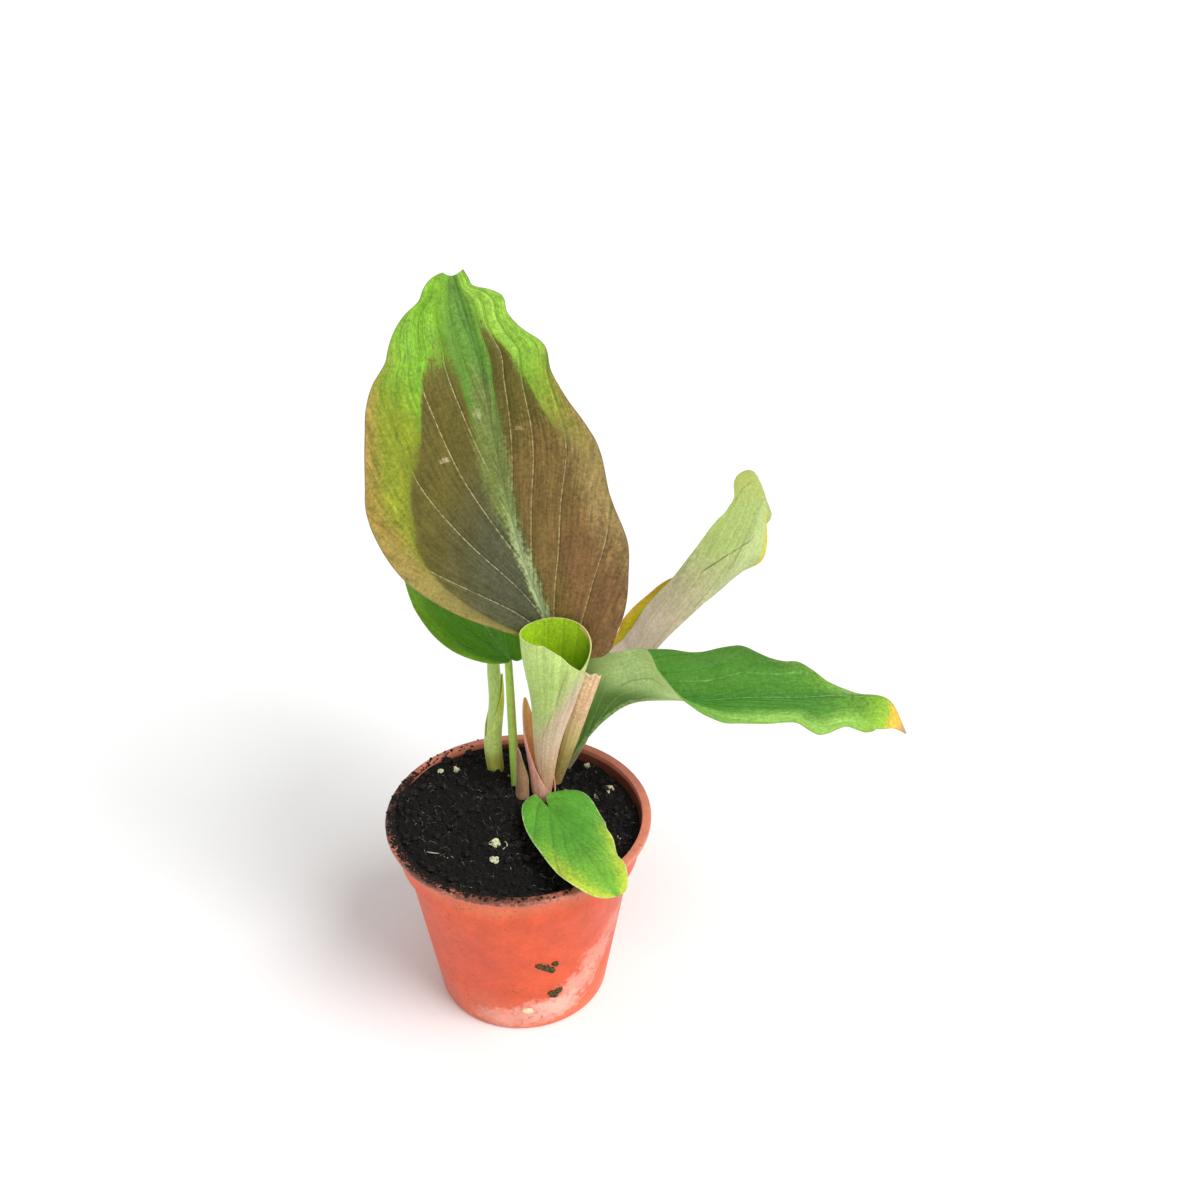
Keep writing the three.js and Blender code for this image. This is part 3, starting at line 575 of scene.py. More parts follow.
@dataclass(frozen=True)
class LeafTissue(Finish):
    """Living leaf skin: thin, slightly waxy, with fine down. Its veins are paler and a little sunk.

    The streaks run along the veins, 0.6 to 1 mm wide, and the mottle is 1 mm across. Widths are half
    widths in millimetres. pale_veins names the one zone whose veins are pale, where they are dark
    elsewhere. The grains are how many patches a metre has: of broad mottle, of mottle and of down.
    """

    name: str
    ground: str
    vein_colour: str
    washes: tuple[Wash, ...] = ()
    vein_dark: str = "4f7a34"
    pale_veins: str = ""
    vein_width: float = 0.14
    vein_strength: float = 0.6
    rib_colour: str = "9cb070"
    rib_width: float = 0.5
    rib_strength: float = 0.6
    edge_colour: str = "6d5a3c"
    edge_width: float = 0.3
    edge_strength: float = 0.7
    mottle: float = 0.16
    streak: float = 0.12
    fine_veins: float = 15.0
    roughness: float = 0.5
    bump: float = 0.35
    furrow: float = 2.5
    furrow_width: float = 0.5
    glow: float = 0.35
    grains: tuple[float, float, float] = (160.0, 900.0, 2600.0)

    def paint(self, node: Maker, spot: Socket) -> dict[str | int, object]:
        """The washes over the ground, the mottle, then the lines of veins, midrib and margin.

        Args:
            node: adds a node to the material's tree.
            spot: object coordinates.

        Returns:
            What goes into the shader's inputs.
        """
        count, over, spacing, from_rib, from_edge = (
            node("Attribute", out="Fac", attribute_name=label)
            for label in ("vein", "across", "vein_mm", "rib_mm", "edge_mm")
        )
        flow = node("CombineXYZ", {0: count, 1: over})
        fine = node("Mapping", {0: flow, 3: (self.fine_veins, 7, 1)})
        streaks = node("TexNoise", {0: fine, "Scale": 1.0, "Detail": 4.0, "Roughness": 0.62})
        broad, mottle, down = (
            node("TexNoise", {0: spot, "Scale": scale, "Detail": detail})
            for scale, detail in zip(self.grains, (3.0, 4.0, 2.0))
        )
        wander = node("Math", {0: streaks, 1: 0.6, 2: -0.55}, operation="MULTIPLY_ADD")
        wander = node("Math", {0: mottle, 1: 0.5, 2: wander}, operation="MULTIPLY_ADD")
        colour: object = linear(self.ground)
        for wash in self.washes:
            zone = node("Attribute", out="Fac", attribute_name=wash.zone)
            edge = node("Math", {0: wander, 1: wash.ragged * 2, 2: zone}, operation="MULTIPLY_ADD")
            fade = {0: edge, 1: -wash.soft, 2: wash.soft, 3: 0.0, 4: wash.strength}
            mask = node("MapRange", fade, interpolation_type="SMOOTHSTEP")
            colour = node("Mix", {0: mask, 6: colour, 7: linear(wash.colour)}, data_type="RGBA")
        patterns = (streaks, self.streak), (broad, self.mottle * 0.5), (mottle, self.mottle)
        for pattern, depth in (*patterns, (down, self.mottle * 0.7)):
            colour = self.shade(node, colour, pattern, depth)
        passed = node("Math", {0: count, 1: 0.5}, operation="PINGPONG")
        from_vein = node("Math", {0: passed, 1: spacing}, operation="MULTIPLY")
        lines = (
            (from_vein, self.vein_width, self.vein_paint(node), self.vein_strength),
            (from_rib, self.rib_width, linear(self.rib_colour), self.rib_strength),
            (from_edge, self.edge_width, linear(self.edge_colour), self.edge_strength),
        )
        widths = [(from_vein, self.furrow_width), *(line[:2] for line in lines)]
        fades = [{0: away, 1: width * 0.55, 2: width * 1.45, 3: 1.0, 4: 0.0} for away, width in widths]
        groove, *close = (node("MapRange", fade, interpolation_type="SMOOTHSTEP") for fade in fades)
        for near, (away, _, paint, strength) in zip(close, lines):
            faint = {0: mottle, 1: 0.4, 2: 0.58, 3: 0.25 * strength, 4: strength}
            mask = node("Math", {0: near, 1: node("MapRange", faint)}, operation="MULTIPLY")
            if away is from_edge:
                mask = node("Math", {0: mask, 1: strength}, operation="MULTIPLY")
            colour = node("Mix", {0: mask, 6: colour, 7: paint}, data_type="RGBA")
        relief = node("Math", {0: streaks, 1: 0.6, 2: down}, operation="MULTIPLY_ADD")
        relief = node("Math", {0: groove, 1: -self.furrow, 2: relief}, operation="MULTIPLY_ADD")
        bump = node("Bump", {"Strength": self.bump, "Distance": 0.0002, "Height": relief})
        return {
            "Base Color": colour, "Roughness": self.roughness, "IOR": 1.42,
            "Specular IOR Level": 0.3, "Subsurface Weight": self.glow,
            "Subsurface Radius": (1.0, 1.0, 0.6), "Subsurface Scale": 0.0012, "Normal": bump,
        }

    def vein_paint(self, node: Maker) -> object:
        """The veins' colour: pale all over, or pale inside one zone and dark outside it.

        Args:
            node: adds a node to the material's tree.

        Returns:
            The colour, or the node that mixes it.
        """
        pale = linear(self.vein_colour)
        if not self.pale_veins:
            return pale
        zone = node("Attribute", out="Fac", attribute_name=self.pale_veins)
        share = node("MapRange", {0: zone, 1: -0.02, 2: 0.05})
        return node("Mix", {0: share, 6: linear(self.vein_dark), 7: pale}, data_type="RGBA")


@dataclass(frozen=True)
class Half:
    """One half of a blade, as shares of its length and values there.

    width is its half width, fold the angle it stands up from the midrib and curl how far it bends on,
    in degrees. lobe draws its base back and horn its tip on, as shares of the length, bumps swell the
    margin and wave ruffles it.
    """

    width: Knots
    fold: Knots
    curl: Knots
    lobe: float = 0.0
    horn: float = 0.0
    bumps: tuple[Point, ...] = ()
    wave: Row | None = None


@dataclass(frozen=True)
class Veining:
    """Side veins that leave the midrib at an angle and run on towards the margin.

    spacing is from one to the next along the midrib, as a share of the length, lean how far on one
    that starts at the base reaches the margin, splay how much further the next ones do, and starts
    where one leaves the midrib on the left and on the right. groove and quilt are in millimetres, and
    so are the half widths of the grooves of veins and midrib. The relief grows between the two
    distances calm_apart from vein to vein, and between the two calm_off from the midrib.
    """

    starts: tuple[float, float]
    groove: float
    quilt: float
    spacing: float = 0.18
    lean: float = 0.74
    splay: float = 1.15
    rib_groove: float = 0.3
    groove_width: float = 0.5
    rib_width: float = 0.7
    calm_apart: tuple[float, float] = (1.5, 6.0)
    calm_off: tuple[float, float] = (0.6, 2.5)

    def count(self, q: Array, s: Array) -> Array:
        """The number of veins passed at a point, whole on each vein.

        Args:
            q: shares across, from -1 at the left margin to 1.
            s: shares along, from 0 at the base to 1.

        Returns:
            The numbers.
        """
        out = np.abs(q)
        leaves_at = (s - self.lean * out) / (1 + self.splay * out)
        return (leaves_at - np.where(q < 0, *self.starts)) / self.spacing


@dataclass
class Sheet:
    """A thin piece of the plant. faces are the finishes of its upper or outer face and of the other."""

    name: str
    stands_for: str
    slot: str
    zones: dict[str, Field]
    faces: tuple[LeafTissue, LeafTissue]

    def make(self) -> Piece:
        """Builds and dresses the sheet."""
        return Bench.dress(self.build(), self.slot, self.faces, [self.stands_for])


@dataclass
class Blade(Sheet):
    """A leaf blade, or a leaf that is one piece with its channelled stalk."""

    rib: Sequence[Point]
    face: Sequence[tuple[float, Point]]
    left: Half
    right: Half
    veins: Veining
    rows: int
    columns: int
    slimmest: float = 0.15
    thinnest: float = 0.26
    flesh: float = 0.7
    flesh_spread: float = 1.3

    def half_points(
        self, half: Half, side: int, s: Array, a: Array, axes: tuple[Array, ...]
    ) -> tuple[Array, Array]:
        """Points of one half.

        Args:
            half: its shape.
            side: -1 on the left and 1 on the right.
            s: shares of the length, one a row.
            a: shares of the half width, from 0 on the midrib to 1.
            axes: at each row the midrib's point, the way across, the normal, and the base's tangent
                times the length.

        Returns:
            The points, and each row's half width.
        """
        centre, across, normal, base = axes
        width = profile(half.width, s)
        for share, swell, spread in half.bumps:
            width = width + swell * np.exp(-(((s - share) / spread) ** 2))
        width = np.maximum(width, self.slimmest)[:, None]
        fold = np.radians(profile(half.fold, s))[:, None]
        curl = np.radians(profile(half.curl, s))[:, None]
        curl = np.where(np.abs(curl) < 1e-4, 1e-4, curl)
        angle = fold + curl * a
        out = width / curl * (np.sin(angle) - np.sin(fold))
        up = width / curl * (np.cos(fold) - np.cos(angle))
        if half.wave:
            depth, count, start, begin = half.wave
            fade = smooth_step(begin, begin + 0.15, s) * (1 - smooth_step(0.93, 1, s))
            wave = depth * np.sin(math.tau * count * s + start) * fade
            ruffle = wave[:, None] * a**2.5
            out = out - ruffle * np.sin(angle)
            up = up + ruffle * np.cos(angle)
        lobe = half.lobe * (1 - s[:, None]) ** 4 * (2 * a - a * a)
        lobe = lobe - half.horn * smooth_step(0.95, 1, s)[:, None] * a * a
        points = centre[:, None] + side * out[..., None] * across[:, None]
        points = points + up[..., None] * normal[:, None] - lobe[..., None] * base
        return points, width[:, 0]

    def midrib(self, s: Array) -> tuple[Array, ...]:
        """The midrib at shares of its length.

        Args:
            s: the shares.

        Returns:
            Its points, the ways across and out of the upper face there, and the way that it starts
            in, as long as the leaf.
        """
        rib = np.array(self.rib, float)
        fine = np.linspace(0, 1, RIB_STEPS)
        line = curve_through(rib, fine)
        reach = np.concatenate([[0], np.cumsum(np.linalg.norm(np.diff(line, axis=0), axis=1))])
        t = np.interp(s * reach[-1], reach, fine)
        tangent = unit(curve_through(rib, t + 1e-3) - curve_through(rib, t - 1e-3))
        start = unit(line[1] - line[0]) * reach[-1]
        parts = [
            profile([(share, value[axis]) for share, value in self.face], s) for axis in range(3)
        ]
        towards = np.stack(parts, axis=1)
        normal = unit(towards - (towards * tangent).sum(1)[:, None] * tangent)
        return curve_through(rib, t), np.cross(tangent, normal), normal, start

    def surface(self) -> tuple[Array, dict[str, Array]]:
        """The blade's middle surface with its relief, and the fields its finishes read.

        Returns:
            The grid of points, and the fields by name.
        """
        s = 0.5 - 0.5 * np.cos(math.pi * np.linspace(0, 1, self.rows + 1))
        q = np.linspace(-1, 1, self.columns + 1)
        axes = self.midrib(s)
        middle = self.columns // 2
        left, left_width = self.half_points(self.left, -1, s, -q[: middle + 1], axes)
        right, right_width = self.half_points(self.right, 1, s, q[middle + 1 :], axes)
        grid = np.concatenate([left, right], axis=1)
        wide = np.concatenate(
            [np.repeat(left_width[:, None], middle + 1, 1), np.repeat(right_width[:, None], middle, 1)],
            axis=1,
        )
        across_q, along_s = np.meshgrid(q, s)
        count = self.veins.count(across_q, along_s)
        spacing = self.millimetres_a_vein(grid, count)
        fields = {
            "vein": count + VEINS_BELOW,
            "vein_mm": spacing,
            "across": across_q,
            "along": along_s,
            "rib_mm": np.abs(across_q) * wide,
            "edge_mm": (1 - np.abs(across_q)) * wide,
        }
        for label, zone in self.zones.items():
            fields[label] = zone(across_q, along_s)
        return grid + self.relief(grid, count, spacing, fields["rib_mm"]), fields

    def thickness(self, fields: dict[str, Array]) -> Array:
        """How thick the blade is at each point: fleshy along the midrib, thin at the margin.

        Args:
            fields: the blade's fields.

        Returns:
            Millimetres at each point.
        """
        reach = (1 - fields["along"]) ** 0.5
        rib = self.flesh * reach * np.exp(-((fields["rib_mm"] / self.flesh_spread) ** 2))
        return self.thinnest + rib

    @staticmethod
    def millimetres_a_vein(grid: Array, count: Array) -> Array:
        """How far apart neighbouring veins are at each point, in millimetres.

        Args:
            grid: the points.
            count: the veins passed at each.

        Returns:
            The distances.
        """
        steps = []
        for axis in (0, 1):
            run = np.maximum(np.linalg.norm(np.gradient(grid, axis=axis), axis=-1), 1e-3)
            steps.append(np.gradient(count, axis=axis) / run)
        return np.clip(1 / np.maximum(np.hypot(*steps), 1e-3), 0, 40)

    def relief(self, grid: Array, count: Array, spacing: Array, from_rib: Array) -> Array:
        """How the surface sinks along the veins and swells between them, as steps to add.

        Args:
            grid: the points.
            count: the veins passed at each.
            spacing: millimetres from vein to vein.
            from_rib: millimetres from the midrib.

        Returns:
            The steps.
        """
        normal = unit(np.cross(np.gradient(grid, axis=1), np.gradient(grid, axis=0)))
        from_vein = np.abs(count - np.round(count)) * spacing
        veins = self.veins
        calm = smooth_step(*veins.calm_apart, spacing) * smooth_step(*veins.calm_off, from_rib)
        height = -veins.groove * np.exp(-((from_vein / veins.groove_width) ** 2))
        height = (height + veins.quilt * (0.5 - 0.5 * np.cos(math.tau * count))) * calm
        height = height - veins.rib_groove * np.exp(-((from_rib / veins.rib_width) ** 2))
        return height[..., None] * normal

    def build(self) -> Piece:
        """Models the blade."""
        grid, fields = self.surface()
        return Bench.sheet(self.name, grid, fields, self.thickness(fields))


@dataclass
class Roll(Sheet):
    """A sheet rolled round a centre line: the young leaf, or a sheath.

    across and deep are half sizes at equal steps up the centre line. start and end are the angles it
    runs between. rim is where it is cut off, as shares of the centre line, and lap steps it outwards.
    pleats are (angle share, depth, spread) creases that run up it, stretch is how long its streaks
    are, and ribless the distance in millimetres at which no midrib shows.
    """

    axis: Sequence[Point]
    across: Sequence[float]
    deep: Sequence[float]
    start: float
    end: float
    rim: Sequence[float]
    rows: int
    columns: int
    lap: float = 0.0
    pleats: tuple[Point, ...] = ()
    veins: float = 9.0
    thickness: float = 0.36
    stretch: float = 3.0
    ribless: float = 9.0

    def surface(self) -> tuple[Array, dict[str, Array]]:
        """The roll's middle surface and the fields its finishes read.

        Returns:
            The grid of points, and the fields by name.
        """
        q = np.linspace(0, 1, self.columns + 1)
        top = values_along(self.rim, q)
        angle = np.radians(self.start + (self.end - self.start) * q)
        rows, heights = [], []
        for share in np.linspace(0, 1, self.rows + 1):
            t = np.clip(share * top, 0, 1)
            centre = curve_through(np.array(self.axis, float), t)
            step = self.lap * (q - 0.5)
            for place, depth, spread in self.pleats:
                step = step - depth * np.exp(-(((q - place) / spread) ** 2)) * t
            centre[:, 0] += (values_along(self.across, t) + step) * np.cos(angle)
            centre[:, 1] += (values_along(self.deep, t) + step) * np.sin(angle)
            rows.append(centre)
            heights.append(t)
        grid = np.stack(rows)
        height = np.stack(heights)
        around = np.repeat(q[None], self.rows + 1, 0)
        long = np.linalg.norm(np.diff(np.array(self.axis, float), axis=0), axis=1).sum()
        size = values_along(self.across, height.reshape(-1)).reshape(height.shape)
        turn = math.radians(self.end - self.start)
        fields = {
            "vein": around * self.veins,
            "vein_mm": turn * size / self.veins,
            "across": height * self.stretch,
            "rib_mm": np.full(height.shape, self.ribless),
            "edge_mm": np.minimum(
                (top[None] - height) * long, np.minimum(around, 1 - around) * turn * size
            ),
        }
        for label, zone in self.zones.items():
            fields[label] = zone(around, height)
        return grid, fields

    def build(self) -> Piece:
        """Models the roll."""
        grid, fields = self.surface()
        return Bench.sheet(self.name, grid, fields, np.full(grid.shape[:2], self.thickness))


@dataclass(frozen=True)
class StalkSkin(Finish):
    """Smooth juicy skin of a leaf stalk, with fine ribs up it 0.5 mm apart and colour from foot to top.

    foot and top are colours, and low and high the heights in millimetres that they are reached at.
    wander is how far the change moves up and down.
    """

    name: str
    foot: str
    top: str
    low: float
    high: float
    rib: str = "6f8a3c"
    rib_share: float = 0.35
    wander: float = 12.0
    roughness: float = 0.38
    bump: float = 0.3

    def paint(self, node: Maker, spot: Socket) -> dict[str | int, object]:
        """One colour turning into the other up the stalk, and darker ribs.

        Args:
            node: adds a node to the material's tree.
            spot: object coordinates.

        Returns:
            What goes into the shader's inputs.
        """
        height = node("SeparateXYZ", {0: spot}, out=2)
        mottle = node("TexNoise", {0: spot, "Scale": 350.0, "Detail": 4.0})
        uneven = node("Math", {0: mottle, 1: self.wander * MM, 2: height}, operation="MULTIPLY_ADD")
        low, high = ((z + self.wander / 2) * MM for z in (self.low, self.high))
        ends = {0: uneven, 1: low, 2: high}
        share = node("MapRange", ends, interpolation_type="SMOOTHSTEP")
        ground = node("Mix", {0: share, 6: linear(self.foot), 7: linear(self.top)}, data_type="RGBA")
        long_way = node("Mapping", {0: spot, 3: (1900, 1900, 90)})
        ribs = node("TexNoise", {0: long_way, "Scale": 1.0, "Detail": 2.0})
        mask = node("MapRange", {0: ribs, 1: 0.5, 2: 0.68, 3: 0.0, 4: self.rib_share})
        return {
            "Base Color": node("Mix", {0: mask, 6: ground, 7: linear(self.rib)}, data_type="RGBA"),
            "Roughness": self.roughness, "IOR": 1.42, "Specular IOR Level": 0.4,
            "Normal": node("Bump", {"Strength": self.bump, "Distance": 0.0002, "Height": ribs}),
        }


@dataclass(frozen=True)
class Crust(Finish):
    """A dry, grainy natural surface, in patches of three colours.

    grain and speckle are the sizes in millimetres of its patches and of its pale specks, specks the
    share of it that they cover, and rough how deep the surface is pitted, in millimetres.
    """

    name: str
    ground: str
    dark: str
    pale: str
    grain: float
    speckle: float
    specks: float = 0.1
    rough: float = 0.2
    roughness: float = 0.9
    ior: float = 1.45

    def paint(self, node: Maker, spot: Socket) -> dict[str | int, object]:
        """Patches of ground and dark, with pale flecks, pitted where they are dark.

        Args:
            node: adds a node to the material's tree.
            spot: object coordinates.

        Returns:
            What goes into the shader's inputs.
        """
        patches = node("TexNoise", {0: spot, "Scale": 1000 / self.grain, "Detail": 6.0})
        tone = node("MapRange", {0: patches, 1: 0.38, 2: 0.62})
        ground = node("Mix", {0: tone, 6: linear(self.dark), 7: linear(self.ground)}, data_type="RGBA")
        flecks = node("TexNoise", {0: spot, "Scale": 1000 / self.speckle, "Detail": 2.0})
        edge = 0.72 - 0.35 * self.specks
        mask = node("MapRange", {0: flecks, 1: edge, 2: edge + 0.06})
        pits = node("Math", {0: flecks, 1: 0.4, 2: patches}, operation="MULTIPLY_ADD")
        return {
            "Base Color": node("Mix", {0: mask, 6: ground, 7: linear(self.pale)}, data_type="RGBA"),
            "Roughness": self.roughness, "IOR": self.ior, "Specular IOR Level": 0.3,
            "Normal": node("Bump", {"Strength": 0.9, "Distance": self.rough * MM, "Height": pits}),
        }


@dataclass(frozen=True)
class Smear:
    """An uneven stain on the pot's wall.

    centre and reach are in millimetres, cover is the share of it that shows, and patchiness is how
    many patches a metre it breaks up in.
    """

    colour: str
    centre: Point
    reach: Point
    cover: float
    patchiness: float


@dataclass(frozen=True)
class PotPlastic(Finish):
    """Thin thermoformed terracotta-coloured plastic, satin, scuffed and splashed in use.

    The ground wanders over 30 mm and 7 mm, the rusty specks are 0.3 to 0.8 mm across. In
    millimetres, pale_rim and pale_foot are the heights between which it fades, lip_from those where
    the lip's colour sets in, collar_from those where the painted shade on the inner wall sets in,
    and inner_from the radii of that wall at height 0, which leans out by lean.
    """

    name: str
    ground: str
    deep: str
    faded: str
    painted_shade: str
    lip: str
    speck: str
    smears: tuple[Smear, ...]
    pale_rim: tuple[float, float] = (73.5, 79.0)
    pale_foot: tuple[float, float] = (30.0, 14.0)
    lip_from: tuple[float, float] = (69.8, 70.4)
    collar_from: tuple[float, float] = (58.0, 58.8)
    inner_from: tuple[float, float] = (30.5, 29.9)
    lean: float = 0.175
    roughness: float = 0.42
    ior: float = 1.49

    def paint(self, node: Maker, spot: Socket) -> dict[str | int, object]:
        """Faded parts and painted shade inside over the ground, then the lip, stains and specks.

        Args:
            node: adds a node to the material's tree.
            spot: object coordinates.

        Returns:
            What goes into the shader's inputs.
        """
        height = node("SeparateXYZ", {0: spot}, out=2)
        broad = node("TexNoise", {0: spot, "Scale": 32.0, "Detail": 5.0})
        tone = node("MapRange", {0: broad, 1: 0.35, 2: 0.65})
        uneven = node("Math", {0: broad, 1: 0.02, 2: height}, operation="MULTIPLY_ADD")
        flat = node("VectorMath", {0: spot, 1: (1.0, 1.0, 0.0)}, operation="MULTIPLY")
        radius = node("VectorMath", {0: flat}, out="Value", operation="LENGTH")
        upright = node("Math", {0: height, 1: -self.lean, 2: radius}, operation="MULTIPLY_ADD")
        bands = (
            (uneven, self.pale_rim, 0.5), (uneven, self.pale_foot, 0.5), (height, self.lip_from, 1.0),
            (upright, self.inner_from, 0.9), (height, self.collar_from, 1.0),
        )
        rim, foot, lip, inside, collar = (
            node("MapRange", {0: place, 1: low * MM, 2: high * MM, 3: 0.0, 4: most})
            for place, (low, high), most in bands
        )
        # Painted shade: the inner wall between the soil and the lip is darkened where the pot's own wall
        # shades it.
        inner_wall_shade = node("Math", {0: inside, 1: collar}, operation="MULTIPLY")
        layers = (
            (tone, self.ground), (rim, self.faded), (foot, self.faded), (inner_wall_shade, self.painted_shade),
            (lip, self.lip), *((self.stain(node, spot, smear), smear.colour) for smear in self.smears),
        )
        colour: object = linear(self.deep)
        for mask, paint in layers:
            colour = node("Mix", {0: mask, 6: colour, 7: linear(paint)}, data_type="RGBA")
        for scale, depth in ((140.0, 0.1), (700.0, 0.08)):
            blotch = node("TexNoise", {0: spot, "Scale": scale, "Detail": 5.0})
            colour = self.shade(node, colour, blotch, depth)
        specks = node("TexNoise", {0: spot, "Scale": 900.0, "Detail": 2.0})
        size = node("MapRange", {0: specks, 1: 0.64, 2: 0.7})
        where = node("TexNoise", {0: spot, "Scale": 60.0, "Detail": 3.0})
        some = node("MapRange", {0: where, 1: 0.45, 2: 0.62, 3: 0.0, 4: 0.85})
        mask = node("Math", {0: size, 1: some}, operation="MULTIPLY")
        peel = node("TexNoise", {0: spot, "Scale": 160.0, "Detail": 6.0})
        raised = node("Math", {0: mask, 1: 1.5, 2: peel}, operation="MULTIPLY_ADD")
        gloss = {0: broad, 1: 0.3, 2: 0.7, 3: self.roughness - 0.06, 4: self.roughness + 0.12}
        return {
            "Base Color": node("Mix", {0: mask, 6: colour, 7: linear(self.speck)}, data_type="RGBA"),
            "Roughness": node("MapRange", gloss), "IOR": self.ior, "Specular IOR Level": 0.4,
            "Normal": node("Bump", {"Strength": 0.4, "Distance": 0.0004, "Height": raised}),
        }

    @staticmethod
    def stain(node: Maker, spot: Socket, smear: Smear) -> Node:
        """Where a stain shows.

        Args:
            node: adds a node to the material's tree.
            spot: object coordinates.
            smear: the stain.

        Returns:
            The mask.
        """
        centre, size = (tuple(x * MM for x in row) for row in (smear.centre, smear.reach))
        centred = node("Mapping", {0: spot, 1: centre, 3: size}, vector_type="TEXTURE")
        inside = node("TexGradient", {0: centred}, out=1, gradient_type="SPHERICAL")
        cloud = {0: spot, "Scale": smear.patchiness, "Detail": 5.0, "Roughness": 0.6}
        total = {0: inside, 1: 0.7, 2: node("TexNoise", cloud)}
        ragged = node("Math", total, operation="MULTIPLY_ADD")
        mask = node("MapRange", {0: ragged, 1: 0.62, 2: 0.95, 3: 0.0, 4: smear.cover})
        rim = node("MapRange", {0: inside, 1: 0.0, 2: 0.25})
        return node("Math", {0: mask, 1: rim}, operation="MULTIPLY")


@dataclass(frozen=True)
class Paper(Finish):
    """Matt white background paper, with a barely seen grain."""

    name: str = "background_paper"
    shades: tuple[str, str] = ("f4f4f4", "f7f7f7")

    def paint(self, node: Maker, spot: Socket) -> dict[str | int, object]:
        """The grain between the two shades.

        Args:
            node: adds a node to the material's tree.
            spot: object coordinates.

        Returns:
            What goes into the shader's inputs.
        """
        grain = node("TexNoise", {0: spot, "Scale": 600.0, "Detail": 2.0})
        colour = dict(zip((0, 6, 7), (grain, *map(linear, self.shades))))
        return {
            "Base Color": node("Mix", colour, data_type="RGBA"),
            "Roughness": 0.95, "Specular IOR Level": 0.1,
        }


@dataclass
class Stalk:
    """A round stalk that rises out of the soil, and runs on as a keel under its blade.

    keel is the keel's radius at both ends in millimetres, and keel_run the shares of the blade's
    length that it runs between.
    """

    name: str
    stands_for: str
    slot: str
    path: Sequence[Point]
    radius: Sequence[float]
    skin: StalkSkin
    blade: Blade | None = None
    keel: tuple[float, float] = (1.2, 0.3)
    keel_run: tuple[float, float] = (0.02, 0.9)
    step: float = 1.2

    def build(self) -> Piece:
        """Models the stalk, and its keel where it has a blade.

        Returns:
            The piece.
        """
        route = np.array(self.path, float)
        length = np.linalg.norm(np.diff(route, axis=0), axis=1).sum()
        t = np.linspace(0, 1, int(length / self.step) + 2)
        points, radii = curve_through(route, t), values_along(self.radius, t)
        if self.blade:
            s = np.linspace(*self.keel_run, KEEL_STEPS)
            centre, _, normal, _ = self.blade.midrib(s)
            keel = self.keel[0] + (self.keel[1] - self.keel[0]) * s**0.7
            sunk = keel + self.blade.veins.rib_groove
            points = np.vstack([points, centre - normal * sunk[:, None]])
            radii = np.concatenate([radii, keel])
        return Bench.tubes(self.name, [(points, radii)])

    def make(self) -> Piece:
        """Builds and dresses the stalk."""
        return Bench.dress(self.build(), self.slot, [self.skin], [self.stands_for])


